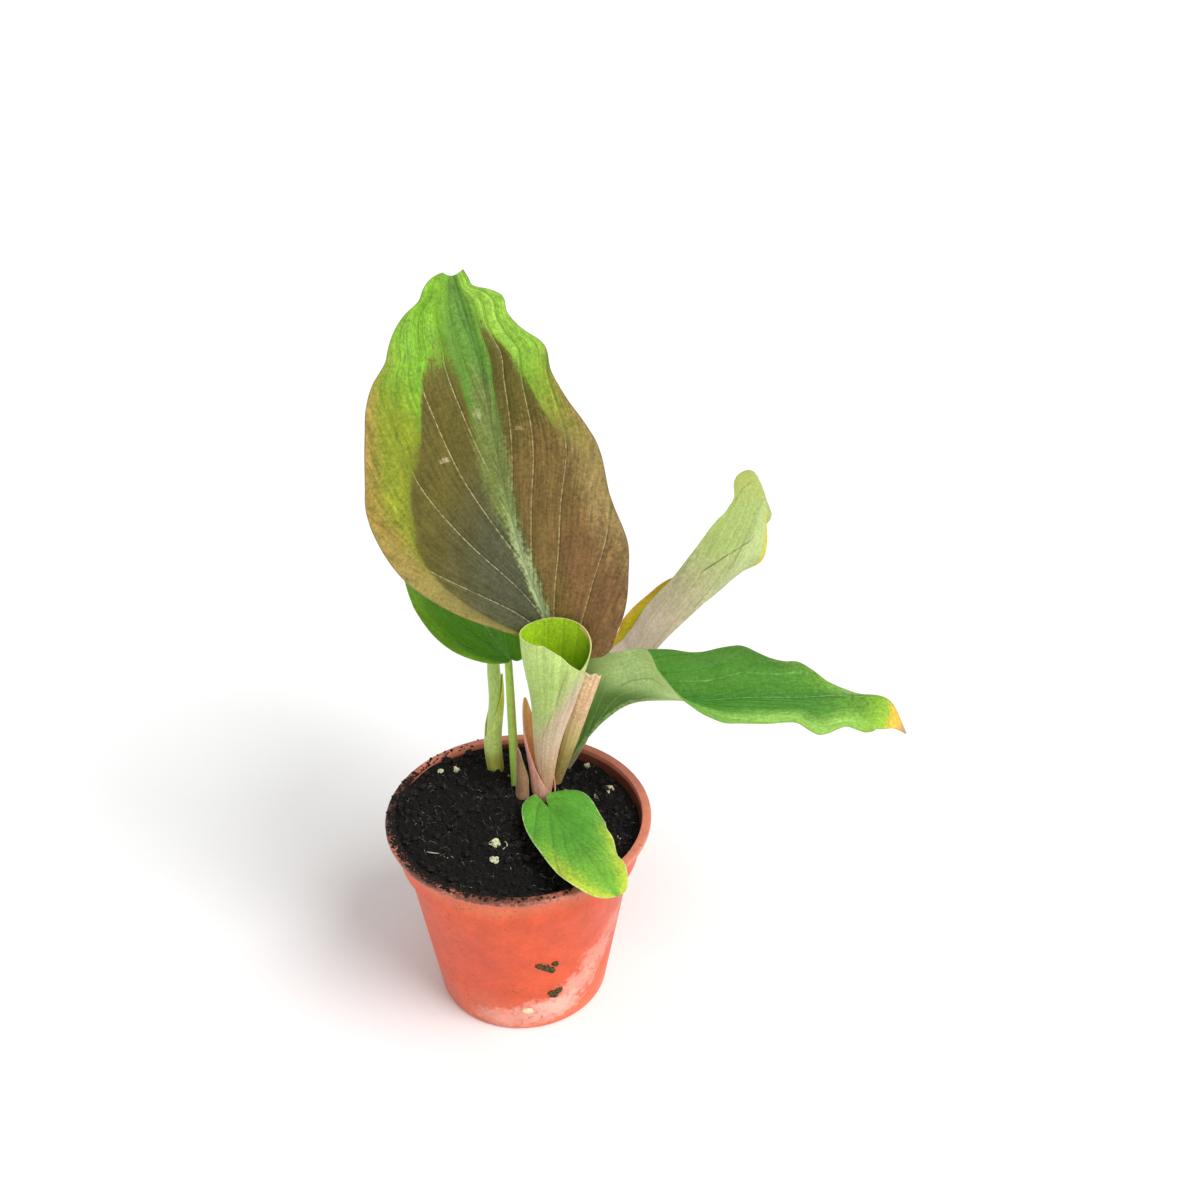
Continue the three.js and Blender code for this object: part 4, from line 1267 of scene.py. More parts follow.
@dataclass
class NurseryPot:
    """A thin tapered plastic pot with a collar, a rolled lip, a foot ring and drainage holes."""

    plastic: PotPlastic
    dirt: Crust
    lime: Crust
    height: float = 72.0
    lip_radius: float = 45.0
    lip_depth: float = 1.8
    lip_round: float = 0.4
    wall: float = 1.1
    collar_top: float = 43.0
    collar_foot: float = 41.0
    collar_height: float = 58.8
    body_top: float = 39.0
    body_height: float = 57.6
    foot_radius: float = 29.8
    foot_round: float = 1.6
    foot_ring: float = 3.2
    boss: float = 12.0
    recess: float = 1.2
    floor: float = 2.4
    corner: float = 1.2
    holes: int = 6
    hole_radius: float = 2.6
    hole_circle: float = 19.0
    sides: int = 180

    def inner_radius(self, z: float) -> float:
        """Radius of the inner wall at a height, in millimetres.

        Args:
            z: the height.

        Returns:
            The radius.
        """
        heights = (self.floor, self.body_height, self.collar_height, self.height - self.lip_depth)
        radii = (self.foot_radius, self.body_top, self.collar_foot, self.collar_top)
        return float(np.interp(z, heights, radii)) - self.wall

    def outline(self) -> list[tuple[float, float]]:
        """Radius and height from the middle of the foot round the lip to the middle of the floor.

        Returns:
            The corners.
        """
        foot = self.foot_radius - self.foot_round
        made = [(self.boss, 0.0), (self.boss + 1, self.recess)]
        made += [(foot - self.foot_ring, self.recess), (foot - self.foot_ring + 1, 0.0)]
        for k in range(7):
            turn = math.radians(90 * k / 6)
            rise = self.foot_round * (1 - math.cos(turn))
            made.append((foot + self.foot_round * math.sin(turn), rise))
        made += [(self.body_top - 0.15, self.body_height - 0.4), (self.body_top, self.body_height)]
        made += [(self.collar_foot, self.collar_height)]
        made += [(self.collar_foot + 0.1, self.collar_height + 0.5)]
        under = self.height - self.lip_depth
        made += [(self.collar_top, under), (self.lip_radius - self.lip_round, under)]
        for middle, first in ((under + self.lip_round, -90), (self.height - self.lip_round, 0)):
            for k in range(5):
                turn = math.radians(first + 90 * k / 4)
                out = self.lip_radius - self.lip_round + self.lip_round * math.cos(turn)
                made.append((out, middle + self.lip_round * math.sin(turn)))
        inside = self.inner_radius(under)
        made += [(inside + 0.7, self.height), (inside + 0.2, self.height - 0.15)]
        made += [(inside, self.height - 0.6), (inside, under)]
        for z in (self.collar_height, self.body_height, self.floor + self.corner):
            made.append((self.inner_radius(z), z))
        made.append((self.inner_radius(self.floor) - self.corner, self.floor))
        made.append((self.boss, self.floor))
        return made

    def build(self) -> Piece:
        """Models the pot.

        Returns:
            The piece.
        """
        piece = Bench.turned("nursery_pot", self.outline(), self.sides)
        for k in range(self.holes):
            angle = math.tau * (k + 0.5) / self.holes
            x, y = self.hole_circle * math.cos(angle), self.hole_circle * math.sin(angle)
            Bench.clear()
            bpy.ops.mesh.primitive_cylinder_add(
                vertices=32, radius=self.hole_radius * MM, depth=8 * MM,
                location=(x * MM, y * MM, self.recess * MM),
            )
            drill = Bench.name("drill")
            Bench.modify(piece, "BOOLEAN", object=drill, operation="DIFFERENCE", solver="EXACT")
            bpy.data.objects.remove(drill)
        return Bench.settle(piece, Shading.BY_ANGLE)

    def wall_radius(self, z: float) -> float:
        """Radius of the outer wall at a height, in millimetres.

        Args:
            z: the height.

        Returns:
            The radius.
        """
        heights = (self.foot_round, self.body_height, self.collar_height, self.height)
        radii = (self.foot_radius, self.body_top, self.collar_foot, self.collar_top)
        return float(np.interp(z, heights, radii))

    def splashes(self) -> Iterator[Piece]:
        """Builds and dresses the two damp lumps of soil and the dried drop on the wall.

        Returns:
            The pieces, one after the other.
        """
        lumps = (
            ("dirt_upper", self.dirt, 1.7, 0.7, ((9.6, 33.4), (11.4, 31.6), (7.6, 34.8), (12.8, 34.4))),
            ("dirt_lower", self.dirt, 1.7, 0.7, ((12.2, 17.4), (13.6, 19.2), (11.2, 18.9))),
            ("dried_drop", self.lime, 1.9, 0.35, ((2.9, 10.7),)),
        )
        for number, (name, finish, most, flat, places) in enumerate(lumps):
            base = Bench.lump("lump", 3, 0.5, 0.7, 3.1 * number)
            spots = []
            for k, (x, z) in enumerate(places):
                wall = self.wall_radius(z)
                y = -math.sqrt(wall * wall - x * x)
                size = most - 0.15 * k
                spots.append(((x, y, z), (size, flat, 0.8 * size), math.atan2(x, -y)))
            yield Bench.dress(Bench.strewn(name, [base], spots), "potting_mix", [finish])

    def make(self) -> Iterator[Piece]:
        """Builds and dresses the pot and what sticks to it."""
        yield Bench.dress(self.build(), "terracotta_plastic", [self.plastic], ["pot"])
        yield from self.splashes()


@dataclass
class PottingSoil:
    """The potting mix: one body with a crumbly top, and the loose crumbs and fibres on it.

    All sizes are in millimetres. mounds are a place, a rise and a spread, and ripples a depth, two
    waves in radians a millimetre and a start. clods, lumps_up and grains_down are the size of a kind of
    crumb and how far it lifts or lowers the top. heaps are the directions in which crumbs have spilled
    on the lip, with their spread, in degrees.
    """

    pot: NurseryPot
    mix: Crust
    bark: Crust
    fibre: Crust
    mean: float = 68.2
    fall_across: float = 0.055
    mounds: tuple[Row, ...] = ((-34, 9, 2.4, 15), (12, 0, -1.2, 13), (2, 22, 0.8, 12))
    ripples: tuple[Row, ...] = ((0.45, 0.31, 0.17, 0.4), (0.35, -0.23, 0.41, 1.7))
    clods: tuple[float, float] = (6.5, 0.9)
    lumps_up: tuple[float, float] = (2.1, 1.1)
    grains_down: tuple[float, float] = (0.75, 0.35)
    lump_level: float = 0.62
    heaps: tuple[tuple[float, float], ...] = ((178, 28), (235, 30))
    gap: float = 0.12
    foot_gap: float = 0.4
    edge_fade: float = 12.0
    cells: int = 260
    lumps: int = 900
    crumbs: int = 2600
    spill: int = 1500
    fibres: int = 230
    lump_sizes: tuple[float, float] = (0.4, 1.5)
    crumb_sizes: tuple[float, float] = (0.2, 0.6)
    spill_sizes: tuple[float, float] = (0.16, 0.66)
    fibre_steps: tuple[float, float] = (0.2, 0.6)
    fibre_radii: tuple[float, float] = (0.04, 0.085)
    fibre_reach: float = 40.2
    fibre_bend: float = 0.12
    fibre_lift: tuple[float, float] = (0.35, 0.5)

    def height(self, x: float, y: float) -> float:
        """Height of the smooth surface at a place, in millimetres.

        Args:
            x: millimetres to the right of the axis.
            y: millimetres behind it.

        Returns:
            The height.
        """
        z = self.mean - self.fall_across * x
        for mx, my, rise, spread in self.mounds:
            z += rise * math.exp(-((x - mx) ** 2 + (y - my) ** 2) / spread**2)
        for depth, along_x, along_y, start in self.ripples:
            z += depth * math.sin(along_x * x + along_y * y + start)
        return z

    def crumble(self, x: float, y: float) -> float:
        """How far the crumbly surface stands off the smooth one, in millimetres.

        Args:
            x: millimetres to the right of the axis.
            y: millimetres behind it.

        Returns:
            The distance.
        """
        at = Vector((x, y, 0))
        (clod, rise), (lump, up), (grain, down) = self.clods, self.lumps_up, self.grains_down
        clods = noise.noise(at / clod) * rise
        near_lump = noise.noise(at / lump + Vector((0, 0, 5)), noise_basis="VORONOI_F1")
        near_grain = noise.noise(at / grain + Vector((0, 9, 0)), noise_basis="VORONOI_F1")
        return clods + up * (self.lump_level - near_lump) - down * near_grain

    def rim(self, x: float, y: float) -> float:
        """Radius of the soil's edge in the direction of a place, in millimetres.

        Args:
            x: millimetres to the right of the axis.
            y: millimetres behind it.

        Returns:
            The radius.
        """
        far = math.hypot(x, y) or 1.0
        reach = self.pot.collar_top
        below_lip = self.pot.height - self.pot.lip_depth
        top = min(self.height(x / far * reach, y / far * reach), below_lip)
        return self.pot.inner_radius(top) - self.gap

    def build(self) -> Piece:
        """Models the body of soil: a fine disc for its top, drawn down and closed underneath.

        Returns:
            The piece.
        """
        Bench.clear()
        bpy.ops.mesh.primitive_grid_add(x_subdivisions=self.cells, y_subdivisions=self.cells, size=2)
        piece = Bench.name("potting_mix_body")
        flat = Bench.points(piece) * MM
        places = np.zeros_like(flat)
        for k, (u, v, _) in enumerate(flat):
            far = max(abs(u), abs(v))
            turn = math.atan2(v, u) if far else 0.0
            if far:
                turn = math.pi / 4 * (v / u if abs(u) >= abs(v) else 2 - u / v)
                if (u if abs(u) >= abs(v) else v) < 0:
                    turn += math.pi
            x, y = self.place_at(turn, far)
            fade = min(1.0, (1 - far) * self.edge_fade)
            places[k] = (x, y, self.height(x, y) + self.crumble(x, y) * fade)
        Bench.place(piece, places)
        Bench.take(piece)
        bpy.ops.object.mode_set(mode="EDIT")
        bpy.ops.mesh.select_all(action="SELECT")
        bpy.ops.mesh.region_to_loop()
        radius = self.pot.inner_radius(self.mean) - self.gap
        bottom = self.pot.floor + 0.15
        for z in (self.pot.collar_height, self.pot.body_height, bottom + self.pot.corner, bottom):
            bpy.ops.mesh.extrude_edges_move()
            next_radius = self.pot.inner_radius(z) - self.foot_gap
            grow = next_radius / radius
            bpy.ops.transform.resize(value=(grow, grow, 0), center_override=(0, 0, z * MM))
            radius = next_radius
        bpy.ops.mesh.edge_face_add()
        bpy.ops.mesh.select_all(action="SELECT")
        bpy.ops.mesh.normals_make_consistent(inside=False)
        bpy.ops.object.mode_set(mode="OBJECT")
        return Bench.settle(piece, Shading.SMOOTH)

    def place_at(self, turn: float, far: float) -> tuple[float, float]:
        """The place in a direction at a share of the way to the soil's edge.

        Args:
            turn: the direction in radians.
            far: the share.

        Returns:
            Its x and y in millimetres.
        """
        x, y = math.cos(turn), math.sin(turn)
        r = far * self.rim(x, y)
        return x * r, y * r

    @staticmethod
    def crumb(sizes: tuple[float, float], rng: random.Random) -> Point:
        """Half sizes of an uneven crumb, more often a small one.

        Args:
            sizes: the smallest and the largest.
            rng: where the chance comes from.

        Returns:
            The three half sizes, the longest first.
        """
        size = sizes[0] + (sizes[1] - sizes[0]) * rng.random() ** 2.5
        return (size, size * rng.uniform(0.5, 0.9), size * rng.uniform(0.4, 0.8))

    def scattered(self, count: int, sizes: tuple[float, float], rng: random.Random) -> list[Spot]:
        """Places for loose crumbs all over the surface.

        Args:
            count: how many.
            sizes: their smallest and largest half size in millimetres.
            rng: where the chance comes from.

        Returns:
            A place, half sizes and a turn for each.
        """
        made = []
        for _ in range(count):
            turn = rng.uniform(0, math.tau)
            far = math.sqrt(rng.random()) * 0.985
            x, y = self.place_at(turn, far)
            shape = self.crumb(sizes, rng)
            z = self.height(x, y) + self.crumble(x, y) + 0.2 * shape[0]
            made.append(((x, y, z), shape, rng.uniform(0, math.tau)))
        return made

    def spilled(self, count: int, rng: random.Random) -> list[Spot]:
        """Places for the crumbs that lie on the lip, most of them at the left and the front.

        Args:
            count: how many.
            rng: where the chance comes from.

        Returns:
            A place, half sizes and a turn for each.
        """
        made = []
        inner, outer = self.pot.collar_top - 1.2, self.pot.lip_radius - 0.3
        for _ in range(count):
            turn = math.radians(rng.choice([rng.gauss(*heap) for heap in self.heaps]))
            far = inner + (outer - inner) * rng.random() ** 1.8
            shape = self.crumb(self.spill_sizes, rng)
            x, y = far * math.cos(turn), far * math.sin(turn)
            z = self.pot.height + 0.3 * shape[0]
            made.append(((x, y, z), shape, rng.uniform(0, math.tau)))
        return made

    def build_crumbs(self) -> Iterator[Piece]:
        """Models the loose crumbs of peat and bark.

        Returns:
            The lumps, then the crumbs.
        """
        rng = random.Random(SEED)
        bases = [Bench.lump(f"clod_{k}", 2, 0.6, 0.8, 2.3 * k) for k in range(4)]
        spots = self.scattered(self.lumps, self.lump_sizes, rng)
        yield Bench.strewn("bark_lumps", bases, spots, Shading.FLAT)
        bases = [Bench.lump(f"grain_{k}", 1, 0.6, 0.8, 4.1 * k) for k in range(4)]
        spots = self.scattered(self.crumbs, self.crumb_sizes, rng)
        spots += self.spilled(self.spill, rng)
        yield Bench.strewn("peat_crumbs", bases, spots, Shading.FLAT)

    def build_fibres(self) -> Piece:
        """Models the pale root and coir fibres that lie on the surface.

        Returns:
            The piece.
        """
        rng = random.Random(SEED + 1)
        routes = []
        for _ in range(self.fibres):
            turn, far = rng.uniform(0, math.tau), math.sqrt(rng.random()) * 0.94
            x, y = self.place_at(turn, far)
            heading, bend = rng.uniform(0, math.tau), rng.gauss(0, self.fibre_bend)
            step = rng.uniform(*self.fibre_steps)
            thick = rng.uniform(*self.fibre_radii)
            path = []
            for k in range(6):
                lift = self.fibre_lift[0] + self.fibre_lift[1] * math.sin(math.pi * k / 5)
                path.append((x, y, self.height(x, y) + self.crumble(x, y) + lift))
                x, y = x + step * math.cos(heading), y + step * math.sin(heading)
                if math.hypot(x, y) > self.fibre_reach:
                    x, y = x * 0.97, y * 0.97
                heading += bend
            routes.append((path, [thick] * len(path)))
        return Bench.tubes("coir_fibres", routes, 0, Shading.SMOOTH)

    def make(self) -> Iterator[Piece]:
        """Builds and dresses the body of soil, its crumbs and its fibres.

        Returns:
            The pieces, one after the other.
        """
        yield Bench.dress(self.build(), "potting_mix", [self.mix], ["soil"])
        for piece in self.build_crumbs():
            yield Bench.dress(piece, "potting_mix", [self.bark])
        yield Bench.dress(self.build_fibres(), "potting_mix", [self.fibre])


@dataclass
class LooseBits:
    """Perlite, fertiliser granules and two bare rootlets that lie on the soil."""

    soil: PottingSoil
    perlite_stone: Crust
    granule_clay: Crust
    root_hair: Crust
    perlite: tuple[Grain, ...] = (
        (-23.4, 25.7, (1.4, 1.1, 1.0)),
        (-28.9, 23.4, (1.1, 1.0, 0.8)),
        (-7.2, -13.7, (2.2, 1.6, 1.4)),
        (-7, -21.9, (1.5, 1.2, 1.1)),
        (30.8, 17.7, (1.9, 1.4, 1.3)),
        (26.6, 14.8, (1.2, 1.0, 0.9)),
        (22.9, 31.8, (1.3, 1.1, 0.8)),
        (34.6, -6.2, (1.3, 1.1, 1.0)),
    )
    granules: tuple[Grain, ...] = (
        (-4.8, 22.4, (0.9, 0.8, 0.8)),
        (-21.6, -21, (1.2, 1.0, 0.9)),
        (15.6, 16.4, (1.0, 0.8, 0.8)),
    )
    rootlets: tuple[tuple[Point, ...], ...] = (
        ((-4.6, -17, 0.8), (-3.2, -15.2, 1.2), (-3.6, -13, 1.3), (-5, -11.4, 0.8)),
        ((-29.2, -19.6, 0.8), (-27.4, -20.4, 1.3), (-25.2, -20, 0.8)),
    )
    rootlet_tip: float = 0.09

    def grains(self, name: str, listed: Sequence[Grain], swell: float) -> Piece:
        """Models one kind of grain, each at its own place.

        Args:
            name: the piece's name.
            listed: place on the soil and half sizes of each.
            swell: how knobbly they are.

        Returns:
            The piece.
        """
        bases = [Bench.lump(f"{name}_{k}", 4, swell, 0.7, 5.7 * k + 1.3) for k in range(3)]
        spots = []
        for x, y, sizes in listed:
            z = self.soil.height(x, y) + 0.25 * sizes[2] + 0.35
            spots.append(((x, y, z), sizes, x))
        return Bench.strewn(name, bases, spots)

    def build_rootlets(self) -> Piece:
        """Models the two bare rootlets.

        Returns:
            The piece.
        """
        t = np.linspace(0, 1, 24)
        radii = self.rootlet_tip * (1 + np.sin(math.pi * t) ** 0.5)
        routes = []
        for route in self.rootlets:
            lifted = [(x, y, self.soil.height(x, y) + up + 0.2) for x, y, up in route]
            routes.append((curve_through(np.array(lifted), t), radii))
        return Bench.tubes("bare_rootlets", routes, 3)

    def make(self) -> Iterator[Piece]:
        """Builds and dresses the grains and the rootlets.

        Returns:
            The pieces, one after the other.
        """
        kinds = (
            ("perlite", "perlite_grains", self.perlite, 0.7, self.perlite_stone),
            ("granule", "granule_beads", self.granules, 0.3, self.granule_clay),
        )
        for slot, name, listed, swell, finish in kinds:
            nodes = [f"{slot}_{k + 1}" for k in range(len(listed))]
            yield Bench.dress(self.grains(name, listed, swell), slot, [finish], nodes)
        nodes = ["rootlet_1", "rootlet_2"]
        yield Bench.dress(self.build_rootlets(), "root_fibre", [self.root_hair], nodes)


@dataclass
class Studio:
    """A plain pale floor, soft light from the front right, and the camera of the photograph."""

    eye: Point = (27.6, -379.5, 378.2)
    aim: Point = (27.6, 0.0, 155.5)
    lens: float = 42.6
    sensor: float = 36.0
    floor_size: float = 14.0
    sky: float = 0.6
    key_from: Point = (0.75, -0.5, 1.05)
    key_spread: float = 38.0
    key_strength: float = 2.5
    fill_from: Point = (-0.1, -1.0, 0.25)
    fill_spread: float = 60.0
    fill_strength: float = 0.25

    def build(self) -> None:
        """Lays the floor, hangs the lights and sets up the camera."""
        Bench.clear()
        bpy.ops.mesh.primitive_plane_add(size=self.floor_size)
        floor = Bench.name("studio_floor")
        floor.data.materials.append(Paper().material())
        world = bpy.data.worlds.new("studio_light")
        world.use_nodes = True
        background = world.node_tree.nodes["Background"]
        background.inputs["Color"].default_value = (1.0, 1.0, 1.0, 1.0)
        background.inputs["Strength"].default_value = self.sky
        bpy.context.scene.world = world
        self.lamp("key_light", self.key_from, self.key_spread, self.key_strength)
        self.lamp("fill_light", self.fill_from, self.fill_spread, self.fill_strength)
        Bench.clear()
        eye, aim = Vector(self.eye) * MM, Vector(self.aim) * MM
        bpy.ops.object.camera_add(
            location=eye, rotation=(aim - eye).to_track_quat("-Z", "Y").to_euler()
        )
        camera = Bench.name("photo_camera")
        camera.data.lens = self.lens
        camera.data.sensor_width = self.sensor
        camera.data.clip_start = 0.01
        bpy.context.scene.camera = camera
        bpy.context.scene.view_settings.view_transform = "Standard"

    def lamp(self, name: str, source: Point, spread: float, strength: float) -> None:
        """Hangs a wide soft light so far off that it is even over the whole floor.

        Args:
            name: its name.
            source: the way to it from the plant.
            spread: how wide it looks from the plant, in degrees.
            strength: watts a square metre.
        """
        Bench.clear()
        turn = (-Vector(source)).to_track_quat("-Z", "Y").to_euler()
        bpy.ops.object.light_add(type="SUN", location=Vector(source), rotation=turn)
        lamp = Bench.name(name)
        lamp.data.angle = math.radians(spread)
        lamp.data.energy = strength


def main_leaf() -> Blade:
    """The large upright leaf: bronze in the middle, green at the tip, tan at the margins.

    Returns:
        The leaf.
    """
    zones = {
        "heart": both(within(((0, 0.3), (1, 0.3))), above(((-1, 0.5), (1, 0.5)))),
        "yellow": both(
            below(((-1, 0.84), (-0.7, 0.74), (0, 0.4), (0.5, 0.62), (0.75, 0.7), (1, 0.76))),
            beyond(((0, 0.3), (1, 0.3))),
        ),
        "tan": both(
            beyond(((0, 0.1), (0.08, 0.4), (0.2, 0.66), (0.33, 0.77), (0.5, 0.89), (0.8, 0.96))),
            below(((-1, 0.78), (1, 0.7))),
        ),
        "skirt": below(
            ((-1, 0.4), (-0.8, 0.34), (-0.62, 0.16), (-0.4, 0), (0.5, -0.1), (0.8, 0.2), (1, 0.62)),
        ),
        "bronze": below(
            (
                (-1, -0.1), (-0.85, 0.1), (-0.76, 0.4), (-0.7, 0.45), (-0.66, 0.55), (-0.56, 0.63),
                (-0.53, 0.74), (-0.5, 0.8), (-0.46, 0.82), (-0.3, 0.81), (-0.2, 0.75), (-0.1, 0.56),
                (-0.04, 0.4), (0, 0.35), (0.04, 0.42), (0.08, 0.6), (0.15, 0.75), (0.22, 0.85),
                (0.32, 0.87), (0.42, 0.84), (0.5, 0.76), (0.62, 0.71), (0.66, 0.6), (0.78, 0.57),
                (0.86, 0.45), (0.9, 0.36), (1, 0.1),
            ),
        ),
        "umber": both(beside(0.05, 1.2), below(((0, 0.55), (0.5, 0.62), (1, 0.5)))),
        "russet": both(beside(0.35, 1.4), below(((0, 0.2), (0.5, 0.34), (1, 0.42)))),
        # The dark grey on the lower left half near the midrib is partly the leaf's grey tone and partly
        # painted shade, where that half tilts away from the light.
        "slate": both(beside(-0.85, 0.02), below(((-1, 0.12), (-0.6, 0.3), (-0.3, 0.42), (0, 0.56)))),
        "hem": both(
            beside(0.74, 1.4), both(above(((0.7, 0.34), (1, 0.2))), below(((0.7, 0.6), (1, 0.64)))),
        ),
        "spine": both(
            within(((0, 0.09), (0.1, 0.07), (0.35, 0.06), (0.5, 0.09), (0.7, 0.1))),
            below(((-1, 0.74), (1, 0.74))),
        ),
        # Painted light: the right half below the tip is lightened where it catches the light, over the
        # tip's own green.
        "sunny": both(beside(0.3, 1.4), above(((0, 0.8), (1, 0.7)))),
        "spine_foot": both(within(((0, 0.08), (0.4, 0.04))), below(((-1, 0.46), (1, 0.46)))),
        "wedge": patch(-0.04, 0.56, 0.12, 0.2),
        "scratch": patch(-0.4, 0.57, 0.045, 0.006),
        "scuff": patch(0.3, 0.61, 0.06, 0.005),
        "blot": patch(-0.1, 0.66, 0.035, 0.014),
    }
    upper = LeafTissue(
        "bronze_leaf_face", "70a025",
        washes=(
            # The light green 90bc45 on the right half below the tip is painted light over the tip's own
            # green.
            Wash("487229", "heart", 0.14, 0.3, 0.75), Wash("90bc45", "sunny", 0.2, 0.08, 0.9),
            Wash("7b8520", "yellow", 0.1, 0.16), Wash("9b7c40", "tan", 0.1, 0.12, 0.85),
            Wash("857a40", "skirt", 0.09, 0.16, 0.8), Wash("59501e", "bronze", 0.035, 0.18),
            Wash("725930", "umber", 0.08, 0.2, 0.85), Wash("775434", "russet", 0.1, 0.16, 0.85),
            # The dark grey 444736 is partly the leaf's own grey tone and partly painted shade on the left
            # half.
            Wash("a48f5c", "hem", 0.14, 0.12, 0.6), Wash("444736", "slate", 0.14, 0.3, 0.85),
            Wash("6a7844", "spine", 0.05, 0.12, 0.8), Wash("a9b886", "spine_foot", 0.03, 0.08, 0.65),
            Wash("6b7438", "wedge", 0.3, 0.4, 0.75), Wash("a89878", "scratch", 0.3, 0.5, 0.7),
            Wash("a88468", "scuff", 0.3, 0.5, 0.7), Wash("9a9a70", "blot", 0.4, 0.5, 0.6),
        ),
        vein_colour="b3a87e", vein_dark="5f8a30", vein_width=0.16, vein_strength=0.85,
        pale_veins="bronze", rib_colour="4a5a30", rib_width=0.25, rib_strength=0.5, edge_colour="6a5058",
        edge_width=0.3, edge_strength=0.85, mottle=0.28, streak=0.34,
    )
    lower = LeafTissue(
        "bronze_leaf_back", "93a86a",
        washes=(Wash("8d8468", "bronze", 0.06, 0.1, 0.8), Wash("9a7f6b", "umber", 0.1, 0.1, 0.6)),
        vein_colour="b7b58c", roughness=0.56, edge_colour="6a5058",
    )
    return Blade(
        name="main_leaf_sheet", stands_for="main_leaf_blade", slot="bronze_leaf",
        rib=(
            (13.5, 17, 126.5), (2, 21, 162.5), (-4.5, 27, 192.5), (-9.5, 34, 219.5), (-17.3, 44.7, 244.2),
        ),
        face=((0, (0.15, -1, 0.45)), (1, (0.15, -1, 0.45))),
        left=Half(
            width=(
                (0, 1.5), (0.03, 5), (0.12, 16.5), (0.25, 31.5), (0.34, 40), (0.41, 43.5), (0.5, 45),
                (0.59, 42.5), (0.67, 40), (0.73, 38), (0.79, 34.2), (0.84, 28.2), (0.87, 26.2),
                (0.9, 23.6), (0.94, 17.8), (0.96, 12.8), (0.975, 10.8), (1, 2.7),
            ),
            fold=((0, 16), (0.5, 12), (1, 6)), curl=((0, 0), (0.5, 6), (1, 4)), lobe=-0.02, horn=0.013,
        ),
        right=Half(
            width=(
                (0, 13), (0.01, 17), (0.03, 19.4), (0.05, 21.4), (0.08, 24.8), (0.12, 28), (0.18, 31.2),
                (0.25, 34), (0.41, 32.5), (0.54, 31.8), (0.6, 29.2), (0.67, 24.6), (0.73, 21.5),
                (0.79, 20.8), (0.83, 16), (0.87, 13), (0.92, 12.6), (0.945, 9), (0.96, 5.4), (0.98, 4.4),
                (1, 3.4),
            ),
            fold=((0, 16), (0.5, 12), (1, 6)), curl=((0, 6), (0.5, 10), (1, 4)), lobe=0.05, horn=0.008,
        ),
        veins=Veining(starts=(-0.13, -0.16), quilt=0.5, groove=0.2), zones=zones, faces=(upper, lower),
        rows=190, columns=130,
    )


def rear_leaf() -> Blade:
    """The deep green leaf behind on the left.

    Returns:
        The leaf.
    """
    zones = {
        "margin": beyond(((0, 0.75), (0.5, 0.86), (1, 0.8))),
        "centre": within(((0, 0.16), (0.4, 0.08), (1, 0.03))),
    }
    upper = LeafTissue(
        "deep_green_leaf_face", "45830c",
        washes=(Wash("74a41c", "margin", 0.12, 0.1, 0.7), Wash("5f9a2c", "centre", 0.03, 0.04, 0.4)),
        vein_colour="7fae4a", vein_strength=0.22, rib_colour="8fb85c", rib_strength=0.4,
        edge_colour="8fb23a", roughness=0.34, streak=0.08,
    )
    lower = LeafTissue("deep_green_leaf_back", "7d9f58", vein_colour="9cb87a", roughness=0.55)
    return Blade(
        name="rear_leaf_sheet", stands_for="rear_leaf_blade", slot="deep_green_leaf",
        rib=((-3.5, 26, 117.5), (-15, 44, 125), (-23, 62, 139.5), (-26, 78, 155.5), (-24.5, 90, 169.5)),
        face=((0, (0.25, -0.8, 0.6)), (1, (0.25, -0.8, 0.6))),
        left=Half(
            width=(
                (0, 1), (0.04, 9.5), (0.15, 17), (0.31, 21.5), (0.5, 22), (0.69, 21), (0.85, 16.5),
                (0.96, 9), (1, 0.6),
            ),
            fold=((0, 14), (0.5, 10), (1, 6)), curl=((0, 4), (0.5, 8), (1, 4)), lobe=0.02,
        ),
        right=Half(
            width=(
                (0, 3), (0.04, 11), (0.15, 20), (0.31, 23), (0.5, 23), (0.69, 20), (0.85, 14), (0.96, 7),
                (1, 0.6),
            ),
            fold=((0, 14), (0.5, 10), (1, 6)), curl=((0, 4), (0.5, 8), (1, 4)), lobe=0.04,
        ),
        veins=Veining(spacing=0.17, starts=(-0.02, -0.05), quilt=0.4, groove=0.18), zones=zones,
        faces=(upper, lower), rows=130, columns=90,
    )


